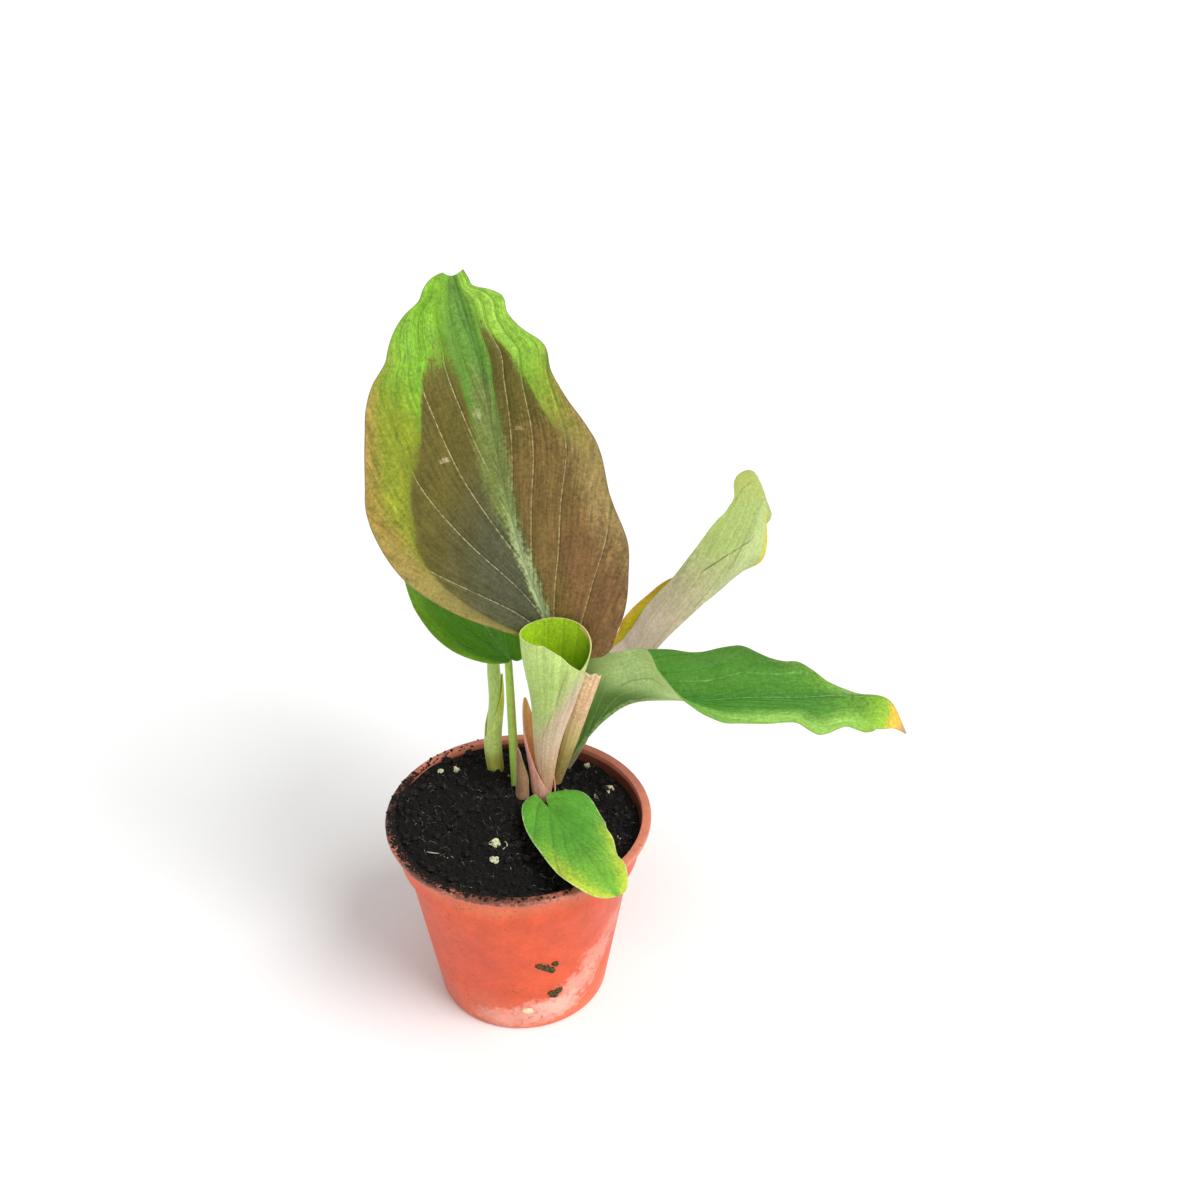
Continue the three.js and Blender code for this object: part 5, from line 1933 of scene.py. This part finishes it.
def small_leaf() -> Blade:
    """The small heart-based leaf that lies over the pot's front lip.

    Returns:
        The leaf.
    """
    zones = {
        "margin": both(
            beyond(((0, 0.95), (0.4, 0.8), (0.6, 0.66), (0.85, 0.45), (1, 0.2))),
            above(((-1, 0.36), (0, 0.5), (1, 0.5))),
        ),
        "rim": both(
            beyond(((0, 0.95), (0.6, 0.86), (0.9, 0.7), (1, 0.4))), above(((-1, 0.5), (1, 0.62))),
        ),
        "warm": above(((-1, 0.5), (-0.3, 0.62), (0.4, 0.66), (1, 0.6))),
        "centre": within(((0, 0.3), (0.3, 0.45), (0.6, 0.3), (0.9, 0.0))),
    }
    upper = LeafTissue(
        "bright_green_leaf_face", "5da236",
        washes=(
            Wash("4f8f2c", "centre", 0.25, 0.2, 0.6), Wash("7fb43c", "warm", 0.22, 0.2, 0.8),
            Wash("9fc042", "margin", 0.24, 0.24, 0.8), Wash("bccb40", "rim", 0.16, 0.22, 0.75),
        ),
        vein_colour="7fb85c", vein_strength=0.2, rib_colour="4a8630", rib_width=0.22, rib_strength=0.4,
        edge_colour="e3e8b0", edge_width=0.36, roughness=0.42, mottle=0.2,
    )
    lower = LeafTissue(
        "bright_green_leaf_back", "8fb26a", vein_colour="a9c48a", roughness=0.55, edge_colour="d8dfa0",
    )
    return Blade(
        name="small_leaf_sheet", stands_for="small_leaf_blade", slot="bright_green_leaf",
        rib=((10.5, 0.5, 73), (14, -7, 74), (20, -20, 75.7), (26.5, -34.5, 77.5), (33, -46, 76)),
        face=((0, (0, 0, 1)), (1, (0.1, 0, 1))),
        left=Half(
            width=(
                (0, 3), (0.05, 13), (0.19, 14.5), (0.39, 13), (0.61, 10.5), (0.81, 8.5), (0.95, 5.5),
                (1, 0.4),
            ),
            fold=((0, 10), (1, 4)), curl=((0, -10), (0.5, -20), (1, -10)), lobe=0.16,
            bumps=((0.42, -1.1, 0.07), (0.3, 0.5, 0.07)), wave=(0.9, 2.6, 0.6, 0.1),
        ),
        right=Half(
            width=(
                (0, 1), (0.05, 7.5), (0.19, 11.5), (0.39, 13), (0.61, 12.5), (0.81, 11), (0.95, 6.5),
                (1, 0.6),
            ),
            fold=((0, 10), (1, 4)), curl=((0, -10), (0.5, -20), (1, -10)), lobe=0.2,
            wave=(0.7, 2.2, 2.4, 0.1),
        ),
        veins=Veining(spacing=0.16, starts=(-0.05, -0.02), quilt=0.45, groove=0.12), zones=zones,
        faces=(upper, lower), rows=120, columns=90, flesh=0.4,
    )


def right_leaf() -> Blade:
    """The leaf on the right: its base shows the pale underside, its blade the green face.

    Returns:
        The leaf.
    """
    zones = {
        "stalk_foot": below(((-1, 0.12), (1, 0.12))),
        "stalk": below(
            ((-1, 0.2), (-0.4, 0.25), (-0.15, 0.35), (0, 0.4), (0.15, 0.37), (0.4, 0.29), (1, 0.22)),
        ),
        "margin": both(beside(-1.4, -0.8), above(((-1, 0.5), (1, 0.5)))),
        "lower_margin": both(beside(0.62, 1.5), above(((-1, 0.5), (1, 0.5)))),
        "tip": above(((-1, 0.86), (0, 0.87), (1, 0.88))),
        "gold": above(((-1, 0.895), (0, 0.912), (0.3, 0.93), (1, 0.95))),
        "far": above(((-1, 0.74), (0, 0.84), (1, 0.84))),
        "dry": above(((-1, 0.975), (1, 0.975))),
        "pale_line": both(
            line(((0.44, -0.38), (0.55, -0.42), (0.645, -0.59), (0.72, -0.72)), 0.008), reach(0.45, 0.72),
        ),
        # Painted shade: a dark line along a small fold of the underside.
        "crease": both(
            line(((0.32, 0.2), (0.335, 0.34), (0.352, 0.4), (0.43, 0.44)), 0.014), reach(0.325, 0.42),
        ),
        "lap_shade": both(beside(0.5, 1.5), below(((0.5, 0.26), (0.8, 0.315), (1, 0.33)))),
        "foot_green": below(((-1, 0.31), (0.3, 0.31), (0.6, 0.28), (1, 0.26))),
    }
    upper = LeafTissue(
        "right_leaf_face", "46842c",
        washes=(
            Wash("3f5f26", "stalk", 0.03, 0.04, 0.9), Wash("37651e", "margin", 0.25, 0.12, 0.75),
            Wash("98c65e", "lower_margin", 0.22, 0.14, 0.8), Wash("8eba49", "far", 0.12, 0.14, 0.75),
            Wash("87b02a", "tip", 0.03, 0.04, 0.85), Wash("e3b23e", "gold", 0.02, 0.03, 0.9),
            Wash("b88a63", "dry", 0.012, 0.02, 0.95), Wash("a9cf8c", "pale_line", 0.012, 0.01, 0.4),
        ),
        vein_colour="7fb45c", vein_strength=0.12, rib_colour="a9cf8c", rib_width=0.18, rib_strength=0.7,
        edge_colour="6e6238", edge_width=0.36, roughness=0.4, mottle=0.2,
    )
    lower = LeafTissue(
        "right_leaf_back", "bad78d",
        washes=(
            Wash("c3d4a2", "lower_margin", 0.2, 0.2, 0.6), Wash("6f9a4a", "foot_green", 0.05, 0.04, 0.8),
            Wash("5c6e40", "lap_shade", 0.05, 0.06, 0.7), Wash("567c34", "stalk", 0.06, 0.03, 0.9),
            # The dark green line 6c8c4c along a small fold of the underside is painted shade.
            Wash("6c8c4c", "crease", 0.016, 0.01, 0.7), Wash("54552a", "stalk_foot", 0.05, 0.05, 0.9),
            Wash("c9c84c", "tip", 0.03, 0.04, 0.7), Wash("e3b23e", "gold", 0.02, 0.03, 0.9),
            Wash("b88a63", "dry", 0.012, 0.02, 0.95),
        ),
        vein_colour="b4cf8c", vein_strength=0.4, rib_colour="a9c77c", edge_colour="cfe0a8", roughness=0.5,
    )
    return Blade(
        name="right_leaf_sheet", stands_for="right_leaf", slot="bright_green_leaf",
        rib=(
            (10.5, 26, 62.2), (16, 25, 74.5), (23.2, 23.5, 87), (30, 21, 97), (38.8, 19, 104.6),
            (50.5, 17, 107), (63, 15, 107.5), (77.5, 13, 110), (94, 11, 111.5), (110, 8, 114.5),
            (122, 5, 115), (129, 3, 103),
        ),
        face=(
            (0, (-0.6, 0.3, 0.7)), (0.25, (-0.5, 0.4, 0.8)), (0.36, (-0.2, 0.3, 1)), (0.6, (0, 0, 1)),
            (0.85, (0, 0, 1)), (1, (0.3, 0, 1)),
        ),
        left=Half(
            width=(
                (0, 3.6), (0.1, 4), (0.18, 6.5), (0.24, 11), (0.29, 14.5), (0.34, 16.2), (0.42, 17.3),
                (0.46, 16.8), (0.5, 17.6), (0.56, 19.4), (0.59, 19.7), (0.62, 17.5), (0.65, 15.5),
                (0.68, 14.7), (0.71, 15.2), (0.74, 12.7), (0.77, 8.4), (0.8, 6.2), (0.84, 4.6), (0.94, 3),
                (1, 0.4),
            ),
            fold=(
                (0, 20), (0.2, 25), (0.32, 55), (0.45, 45), (0.6, 28), (0.76, 8), (0.85, -30), (1, -60),
            ),
            curl=((0, 110), (0.2, 80), (0.33, 20), (0.5, 8), (1, -10)),
        ),
        right=Half(
            width=(
                (0, 3.6), (0.12, 3.8), (0.18, 5), (0.22, 8.6), (0.26, 14.4), (0.28, 18), (0.3, 21),
                (0.32, 21), (0.34, 18.6), (0.38, 19.8), (0.41, 22.4), (0.43, 22), (0.48, 19.5),
                (0.53, 19), (0.56, 19.4), (0.59, 17.2), (0.62, 15.8), (0.65, 15), (0.68, 13.9),
                (0.71, 14.2), (0.74, 18.3), (0.76, 20), (0.78, 18.6), (0.8, 15.8), (0.82, 13.9),
                (0.84, 14.6), (0.86, 15.5), (0.88, 14.8), (0.9, 13.5), (0.92, 12.6), (0.94, 10.2),
                (0.96, 6), (0.98, 3), (1, 0.4),
            ),
            fold=(
                (0, 20), (0.2, 40), (0.29, 86), (0.35, 82), (0.39, 70), (0.42, 47), (0.45, 31), (0.5, 19),
                (0.6, 5), (0.75, 0), (0.82, -12), (0.92, -22), (1, -30),
            ),
            curl=((0, 110), (0.2, 80), (0.3, 12), (0.4, 5), (1, 0)),
        ),
        veins=Veining(spacing=0.11, lean=0.5, starts=(0.22, 0.2), quilt=0.25, groove=0.14), zones=zones,
        faces=(upper, lower), rows=240, columns=90, flesh=0.9,
    )


def upper_leaf() -> Blade:
    """The leaf behind on the right, seen from its grey-pink underside.

    Returns:
        The leaf.
    """
    zones = {
        "stalk": below(((-1, 0.33), (1, 0.33))),
        "low": below(((-1, 0.58), (1, 0.55))),
        "band": both(beside(-0.45, 0.1), below(((-1, 0.74), (1, 0.74)))),
        "line": both(line(((0.66, 0.52), (0.73, 0.29), (0.8, -0.09)), 0.02), reach(0.66, 0.805)),
        "nick": both(line(((0.876, 0.92), (0.9, 0.62)), 0.03), reach(0.876, 0.9)),
        "margin": both(beside(-1.4, -0.72), above(((-1, 0.7), (1, 0.7)))),
        "strip_edge": both(beside(-1.4, -0.93), reach(0.2, 0.66)),
        "smudge": both(beside(0.1, 0.95), reach(0.5, 0.68)),
        "pale_edge": both(beside(-0.9, 0.02), reach(0.6, 0.86)),
        "top": above(((-1, 0.93), (-0.4, 0.9), (0.3, 0.9), (1, 0.86))),
    }
    upper = LeafTissue(
        "grey_pink_leaf_face", "b7c430",
        washes=(
            Wash("dac42d", "low", 0.12, 0.12, 0.8), Wash("d0823c", "strip_edge", 0.06, 0.08, 0.6),
            Wash("86803a", "stalk", 0.04, 0.04),
        ),
        vein_colour="c3b458", edge_colour="d8b9a0",
    )
    lower = LeafTissue(
        "grey_pink_leaf_back", "9aad64",
        washes=(
            Wash("b9c98c", "pale_edge", 0.12, 0.1, 0.6), Wash("fbdcca", "low", 0.2, 0.12, 1.0),
            Wash("afa18a", "smudge", 0.1, 0.2, 0.35), Wash("ac9b83", "band", 0.12, 0.25, 0.2),
            Wash("4c4c34", "line", 0.012, 0.006, 0.85), Wash("c9b82c", "margin", 0.06, 0.06, 0.85),
            Wash("a3a850", "top", 0.03, 0.04, 0.6), Wash("5c5c40", "nick", 0.02, 0.01, 0.6),
            Wash("a79a7c", "stalk", 0.05, 0.05, 0.9),
        ),
        vein_colour="c3c79a", vein_strength=0.25, rib_colour="8f9a68", rib_width=0.2, rib_strength=0.1,
        edge_colour="8a7a58", edge_width=0.26, mottle=0.13, roughness=0.55,
    )
    return Blade(
        name="upper_leaf_sheet", stands_for="upper_leaf", slot="grey_pink_leaf",
        rib=(
            (13.5, 31, 62.2), (22, 31, 79), (31, 32, 101.4), (41.8, 30.8, 112.6), (51.2, 30.6, 124.5),
            (62.3, 32, 136.2), (72, 37.5, 146), (79, 46, 155), (83.5, 56, 161.5), (87.5, 66, 152),
        ),
        face=(
            (0, (-0.4, 0.85, 0.1)), (0.4, (-0.15, 0.9, -0.3)), (0.75, (-0.2, 0.85, -0.3)),
            (0.88, (-0.4, 0.7, -0.5)), (1, (-0.5, 0.2, -0.9)),
        ),
        left=Half(
            width=(
                (0, 3), (0.2, 3.2), (0.3, 8), (0.36, 17), (0.44, 19.6), (0.52, 19.4), (0.62, 20.4),
                (0.72, 16), (0.79, 10.8), (0.86, 4.6), (0.93, 5.6), (0.98, 5.5), (1, 2),
            ),
            fold=((0, 20), (0.3, 70), (0.44, 85), (0.54, 80), (0.64, 40), (0.74, 10), (1, 13)),
            curl=(
                (0, 120), (0.3, 122), (0.42, 100), (0.5, 90), (0.6, 122), (0.7, 145), (0.78, 52),
                (0.86, 52), (1, 74),
            ),
        ),
        right=Half(
            width=(
                (0, 3), (0.2, 5), (0.36, 12), (0.44, 12.6), (0.5, 13.8), (0.6, 13.8), (0.7, 14),
                (0.78, 13.2), (0.85, 10.6), (0.88, 10), (0.9, 12.8), (0.915, 12.8), (0.94, 12),
                (0.98, 8.5), (1, 2),
            ),
            fold=((0, 20), (0.4, 22), (0.7, 15), (1, 0)),
            curl=((0, 120), (0.3, 50), (0.45, 50), (0.7, 22), (0.85, 20), (1, 24)),
        ),
        veins=Veining(spacing=0.13, lean=0.5, starts=(0.2, 0.25), quilt=0.2, groove=0.12), zones=zones,
        faces=(upper, lower), rows=220, columns=80, flesh=0.8,
    )


def rolled_pieces() -> list[Roll]:
    """The young rolled leaf and the sheaths and scale at the stems' feet.

    Returns:
        The rolls.
    """
    young_out = LeafTissue(
        "pale_green_roll_outside", "bfd880",
        washes=(
            Wash("d4b8a4", "mid", 0.16, 0.2, 0.95), Wash("e8c8ae", "low", 0.16, 0.1, 0.95),
            Wash("e6ac8e", "foot", 0.12, 0.05, 0.9), Wash("e0c4b2", "seam", 0.015, 0.02, 0.9),
            # The thin dark lines 8c7c62 and 9c8c70 along the pleats' creases are painted shade.
            Wash("8c7c62", "pleat", 0.004, 0.003, 0.55), Wash("9c8c70", "side_pleat", 0.004, 0.003, 0.45),
        ),
        vein_colour="97a070", vein_strength=0.35, edge_colour="d9c49c", mottle=0.14, roughness=0.45,
    )
    young_in = LeafTissue(
        "pale_green_roll_inside", "9dc21d",
        washes=(
            Wash("4a6a0c", "lip_shade", 0.1, 0.16, 0.85), Wash("d9a878", "blush", 0.012, 0.01, 0.9),
            Wash("6f9a14", "mid", 0.2, 0.2, 0.6),
        ),
        vein_colour="8fbf3c", edge_colour="a9c860", roughness=0.5, mottle=0.22,
    )
    sheath_out = LeafTissue(
        "pink_sheath_outside", "ffaea5", washes=(Wash("f2bc9c", "foot", 0.1, 0.1, 0.7),),
        vein_colour="b87658", vein_strength=0.4, edge_colour="dfae84", fine_veins=9,
    )
    sheath_in = LeafTissue(
        "pink_sheath_inside", "ffbc8b", washes=(Wash("ffc090", "foot", 0.2, 0.2, 0.5),),
        vein_colour="e89860", vein_strength=0.4, edge_colour="e0a878", fine_veins=9,
    )
    husk_out = LeafTissue(
        "tan_sheath_outside", "ecc09c",
        washes=(
            Wash("b98c68", "fold", 0.03, 0.03, 0.6), Wash("dcc68c", "foot", 0.2, 0.3, 0.85),
            Wash("a7934f", "base", 0.2, 0.6, 0.8),
        ),
        vein_colour="9c7d4c", vein_strength=0.4, edge_colour="f0e0c0", edge_width=0.6, edge_strength=0.9,
        mottle=0.24, fine_veins=9, roughness=0.62,
    )
    husk_in = LeafTissue(
        "tan_sheath_inside", "e2b48c",
        washes=(Wash("d8c084", "foot", 0.3, 0.3, 0.85), Wash("a89848", "base", 0.12, 0.3, 0.8)),
        vein_colour="b58a5c", vein_strength=0.35, edge_colour="f0dcb8", edge_width=0.45, fine_veins=9,
        roughness=0.6,
    )
    paper = LeafTissue(
        "dried_sheath_paper", "a07c5e", washes=(Wash("cfc8ac", "pale", 0.05, 0.05, 0.9),),
        vein_colour="7d6450", vein_strength=0.5, edge_colour="d2c8b0", mottle=0.24, fine_veins=9,
        roughness=0.7,
    )
    scale_skin = LeafTissue(
        "shoot_scale_skin", "d0e882",
        washes=(Wash("d8de48", "point", 0.08, 0.05, 0.9), Wash("b4ae4a", "base", 0.05, 0.04, 0.8)),
        vein_colour="8ba850", vein_strength=0.3, edge_colour="c3cf6a", fine_veins=9, roughness=0.42,
    )
    low = below(((0, 0.3), (1, 0.3)))
    return [
        Roll(
            name="rolled_leaf_sheet", stands_for="rolled_leaf", slot="pale_green_leaf",
            axis=((8, 15.5, 66), (9.5, 12.5, 91.5), (12, 11, 110.5), (13.5, 8, 130), (14, 9, 146)),
            across=(1.6, 4.2, 7.2, 11, 12.4), deep=(1.6, 3.1, 4.6, 6.6, 7.6), start=-75, end=341,
            rim=(0.66, 0.7, 0.8, 0.875, 0.9, 0.89, 0.875, 0.865, 0.85, 0.74, 0.66), lap=0.9,
            zones={
                "mid": below(((0, 0.6), (0.6, 0.2), (0.8, 0.36), (0.9, 0.58), (1, 0.7))),
                "low": below(((0, 0.4), (0.7, 0.3), (0.85, 0.36), (1, 0.5))),
                "foot": below(((0, 0.2), (1, 0.2))),
                "seam": beside(0.985, 1.2),
                # Painted shade: thin dark lines along the creases of the pleats on the outside.
                "pleat": both(
                    line(((0.3, 0.78), (0.46, 0.83), (0.56, 0.855), (0.75, 0.88)), 0.004),
                    reach(0.3, 0.72),
                ),
                "side_pleat": both(
                    line(((0.3, 0.87), (0.6, 0.925), (0.75, 0.93)), 0.003), reach(0.34, 0.66),
                ),
                "lip_shade": beside(0.04, 0.25),
                "blush": above(((0, 0.645), (0.1, 0.685), (0.2, 0.782), (0.3, 0.858), (0.36, 1.2))),
            },
            faces=(young_out, young_in),
            pleats=((0.775, 0.7, 0.012), (0.85, 1.0, 0.014), (0.93, 0.5, 0.01)), veins=16, rows=110,
            columns=170,
        ),
        Roll(
            name="outer_sheath_sheet", stands_for="outer_sheath", slot="pink_sheath",
            axis=((8, 15.5, 62.5), (7.6, 15, 78), (5.6, 15.5, 94), (4.5, 16, 107)),
            across=(3.7, 4.3, 4.0, 3.0), deep=(3.5, 4.0, 3.6, 2.8), start=-25, end=320,
            rim=(0.12, 0.2, 0.4, 0.72, 0.98, 0.95, 0.7, 0.42, 0.25, 0.14), zones={"foot": low},
            faces=(sheath_out, sheath_in), rows=60, columns=110,
        ),
        Roll(
            name="inner_sheath_sheet", stands_for="inner_sheath", slot="tan_sheath",
            axis=((12.4, 20, 69.5), (17.4, 17.3, 92), (24.6, 14.5, 121)), across=(1.5, 3.2, 4.2),
            deep=(1.5, 2.6, 3.2), start=-170, end=70,
            rim=(0.96, 0.99, 1.0, 0.985, 0.99, 0.96, 0.95, 0.92, 0.86, 0.72),
            zones={
                "foot": below(((0, 0.7), (1, 0.55))),
                "base": below(((0, 0.5), (1, 0.42))),
                "fold": both(line(((0.5, 0.36), (1, 0.46)), 0.02), reach(0.5, 1.1)),
            },
            faces=(husk_out, husk_in), rows=80, columns=70,
        ),
        Roll(
            name="dried_sheath_sheet", stands_for="dried_sheath", slot="dried_sheath",
            axis=((0.4, 12, 62.5), (0.8, 12.6, 75.5), (0.8, 14.5, 89)), across=(2.3, 2.1, 1.7),
            deep=(2.3, 2.1, 1.7), start=165, end=345, rim=(0.9, 1.0, 0.95, 0.75, 0.55),
            zones={"pale": beside(-0.2, 0.2)}, faces=(paper, paper), rows=50, columns=60,
        ),
        Roll(
            name="shoot_scale_sheet", stands_for="shoot_scale", slot="pale_green_leaf",
            axis=((-9, 27, 62.5), (-10.3, 28, 81), (-9, 31, 97), (-9.5, 35, 109)),
            across=(2.6, 3.0, 3.0, 2.9), deep=(2.6, 3.0, 3.0, 2.9), start=-170, end=160,
            rim=(0.36, 0.45, 0.66, 0.88, 0.86, 0.7, 0.45),
            zones={"point": above(((0, 0.6), (1, 0.6))), "base": below(((0, 0.26), (1, 0.26)))},
            faces=(scale_skin, scale_skin), rows=60, columns=80,
        ),
    ]


def stalks(main_blade: Blade, rear_blade: Blade, small_blade: Blade) -> list[Stalk]:
    """The round stalks, with the blades that three of them carry.

    Args:
        main_blade: the large upright leaf.
        rear_blade: the leaf behind.
        small_blade: the small leaf in front.

    Returns:
        The stalks.
    """
    green = StalkSkin("green_leaf_stalk", foot="a9cf5c", top="b6d85e", low=66, high=110)
    hidden = StalkSkin("bronze_leaf_stalk", foot="9a8a52", top="8fa055", low=66, high=120)
    brown = StalkSkin("brown_leaf_stalk", foot="8a6a4c", top="9a8458", low=64, high=74)
    shoot = StalkSkin("furled_shoot_skin", foot="e2e886", top="c2de7c", low=70, high=100)
    return [
        Stalk(
            name="main_stalk_and_keel", stands_for="main_leaf_stalk", slot="leaf_stalk",
            path=((5.5, 25.5, 62), (8.5, 23.5, 85.5), (11.3, 19.8, 109), (13.3, 17.8, 124.8)),
            radius=(2.1, 2, 1.9, 1.4), skin=hidden, blade=main_blade, keel=(1.35, 0.25),
        ),
        Stalk(
            name="rear_stalk_and_keel", stands_for="rear_leaf_stalk", slot="leaf_stalk",
            path=((-1.5, 17, 62), (-2.5, 20, 87.5), (-3, 23, 102.5), (-3.5, 25.8, 116.2)),
            radius=(1.9, 1.6, 1.5, 1.35), skin=green, blade=rear_blade, keel=(1.2, 0.25),
        ),
        Stalk(
            name="small_stalk_and_keel", stands_for="small_leaf_stalk", slot="tan_sheath",
            path=((10.5, 10, 61.9), (10.8, 6.5, 66.5), (10.4, 2.4, 71.7)), radius=(1.1, 1, 0.8),
            skin=brown, blade=small_blade, keel=(0.7, 0.2), step=0.6,
        ),
        Stalk(
            name="furled_shoot_body", stands_for="furled_shoot", slot="pale_green_leaf",
            path=((-9, 27, 62.5), (-10.3, 28, 81), (-9, 31, 97), (-9.5, 35, 109), (-9.5, 38, 116)),
            radius=(1.8, 2.1, 2.3, 2.2, 0.4), skin=shoot,
        ),
    ]


def nursery_pot() -> NurseryPot:
    """The pot with the finish of its plastic and of what sticks to it.

    Returns:
        The pot.
    """
    plastic = PotPlastic(
        # The dark colour 5c342a for the inner wall above the soil is painted shade.
        name="terracotta_plastic_satin", ground="e0582c", deep="d44c26", faded="e0845e", painted_shade="5c342a",
        lip="d07c64", speck="8a3a26",
        smears=(
            Smear("eeb8a8", (34, -17, 36), (10, 11, 10), cover=0.3, patchiness=420.0),
            Smear("eeb4a4", (28, -22, 27), (14, 13, 11), cover=0.5, patchiness=420.0),
            Smear("efb4a4", (21, -26, 18), (14, 13, 10), cover=0.6, patchiness=420.0),
            Smear("f3bcab", (13, -30, 10), (20, 13, 9), cover=0.85, patchiness=420.0),
            Smear("eba796", (-2, -30, 6), (22, 12, 8), cover=0.7, patchiness=420.0),
            Smear("c9584c", (-26, -20, 8), (16, 14, 9), cover=0.5, patchiness=420.0),
            Smear("2e211b", (-42, 2, 71.8), (12, 34, 3.0), cover=0.9, patchiness=900.0),
            Smear("2e211b", (-28, -30, 71.8), (20, 18, 2.6), cover=0.8, patchiness=900.0),
            Smear("3c2018", (-5, -42, 71.8), (30, 8, 2.6), cover=0.8, patchiness=900.0),
        ),
    )
    dirt = Crust("damp_soil_splash", "5c5030", "2f2b1a", "8c8458", 0.8, 0.4, 0.25, rough=0.3)
    lime = Crust("dried_lime_drop", "f3e3c6", "e2c9a4", "fbf3e0", 0.8, 0.5, rough=0.08)
    return NurseryPot(plastic=plastic, dirt=dirt, lime=lime)


def potting_soil(pot: NurseryPot) -> PottingSoil:
    """The potting mix with its finishes.

    Args:
        pot: what it fills.

    Returns:
        The soil.
    """
    mix = Crust("damp_peat_mix", "0d0a08", "040303", "3c342c", 1.0, 0.4, 0.2, rough=0.45, roughness=0.85)
    bark = Crust(
        "composted_bark", "1a1512", "070505", "6a6054", 0.8, 0.4, 0.16, rough=0.25, roughness=0.7,
    )
    fibre = Crust("dry_coir_fibre", "7c766a", "3c3830", "cfcabc", 1.2, 0.6, 0.3, rough=0.05)
    return PottingSoil(pot=pot, mix=mix, bark=bark, fibre=fibre)


def loose_bits(soil: PottingSoil) -> LooseBits:
    """The grains and rootlets with their finishes.

    Args:
        soil: what they lie on.

    Returns:
        The bits.
    """
    stone = Crust("expanded_perlite", "dedbb8", "b9b78c", "f6f4dc", 0.8, 0.35, 0.3, rough=0.2)
    clay = Crust("feed_granule", "bdb671", "96904c", "d8d3a0", 0.7, 0.4, 0.2, rough=0.15)
    hair = Crust("bare_root_hair", "d2cab8", "a39882", "efe9dc", 1.0, 0.5, 0.2, rough=0.05)
    return LooseBits(soil=soil, perlite_stone=stone, granule_clay=clay, root_hair=hair)


def dress_buried() -> None:
    """Gives the buried rhizome and storage roots their skins."""
    skins = {
        "rhizome": Crust("rhizome_skin", "9c7b52", "6e5236", "b89a72", 2.5, 0.8, rough=0.3),
        "storage_root": Crust("storage_root_skin", "c9b48a", "a08c62", "dccba6", 3.0, 0.7, rough=0.2),
    }
    for name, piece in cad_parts.items():
        for start, skin in skins.items():
            if name.startswith(start):
                piece.data.materials.clear()
                piece.data.materials.append(skin.material())


def report(piece: Piece) -> None:
    """Lets a finished piece ride on the part's body and logs it."""
    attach(piece, BODY)
    LOG.info("%s: %d faces", piece.name, len(piece.data.polygons))


def main() -> None:
    """Builds and dresses the pot, the soil, the plant and the studio."""
    logging.basicConfig(level=logging.INFO)
    pot = nursery_pot()
    soil = potting_soil(pot)
    for part in (pot, soil, loose_bits(soil)):
        for piece in part.make():
            report(piece)
    dress_buried()
    carried = [main_leaf(), rear_leaf(), small_leaf()]
    for part in carried + [right_leaf(), upper_leaf()] + rolled_pieces() + stalks(*carried):
        report(part.make())
    Studio().build()


if __name__ == "__main__":
    main()
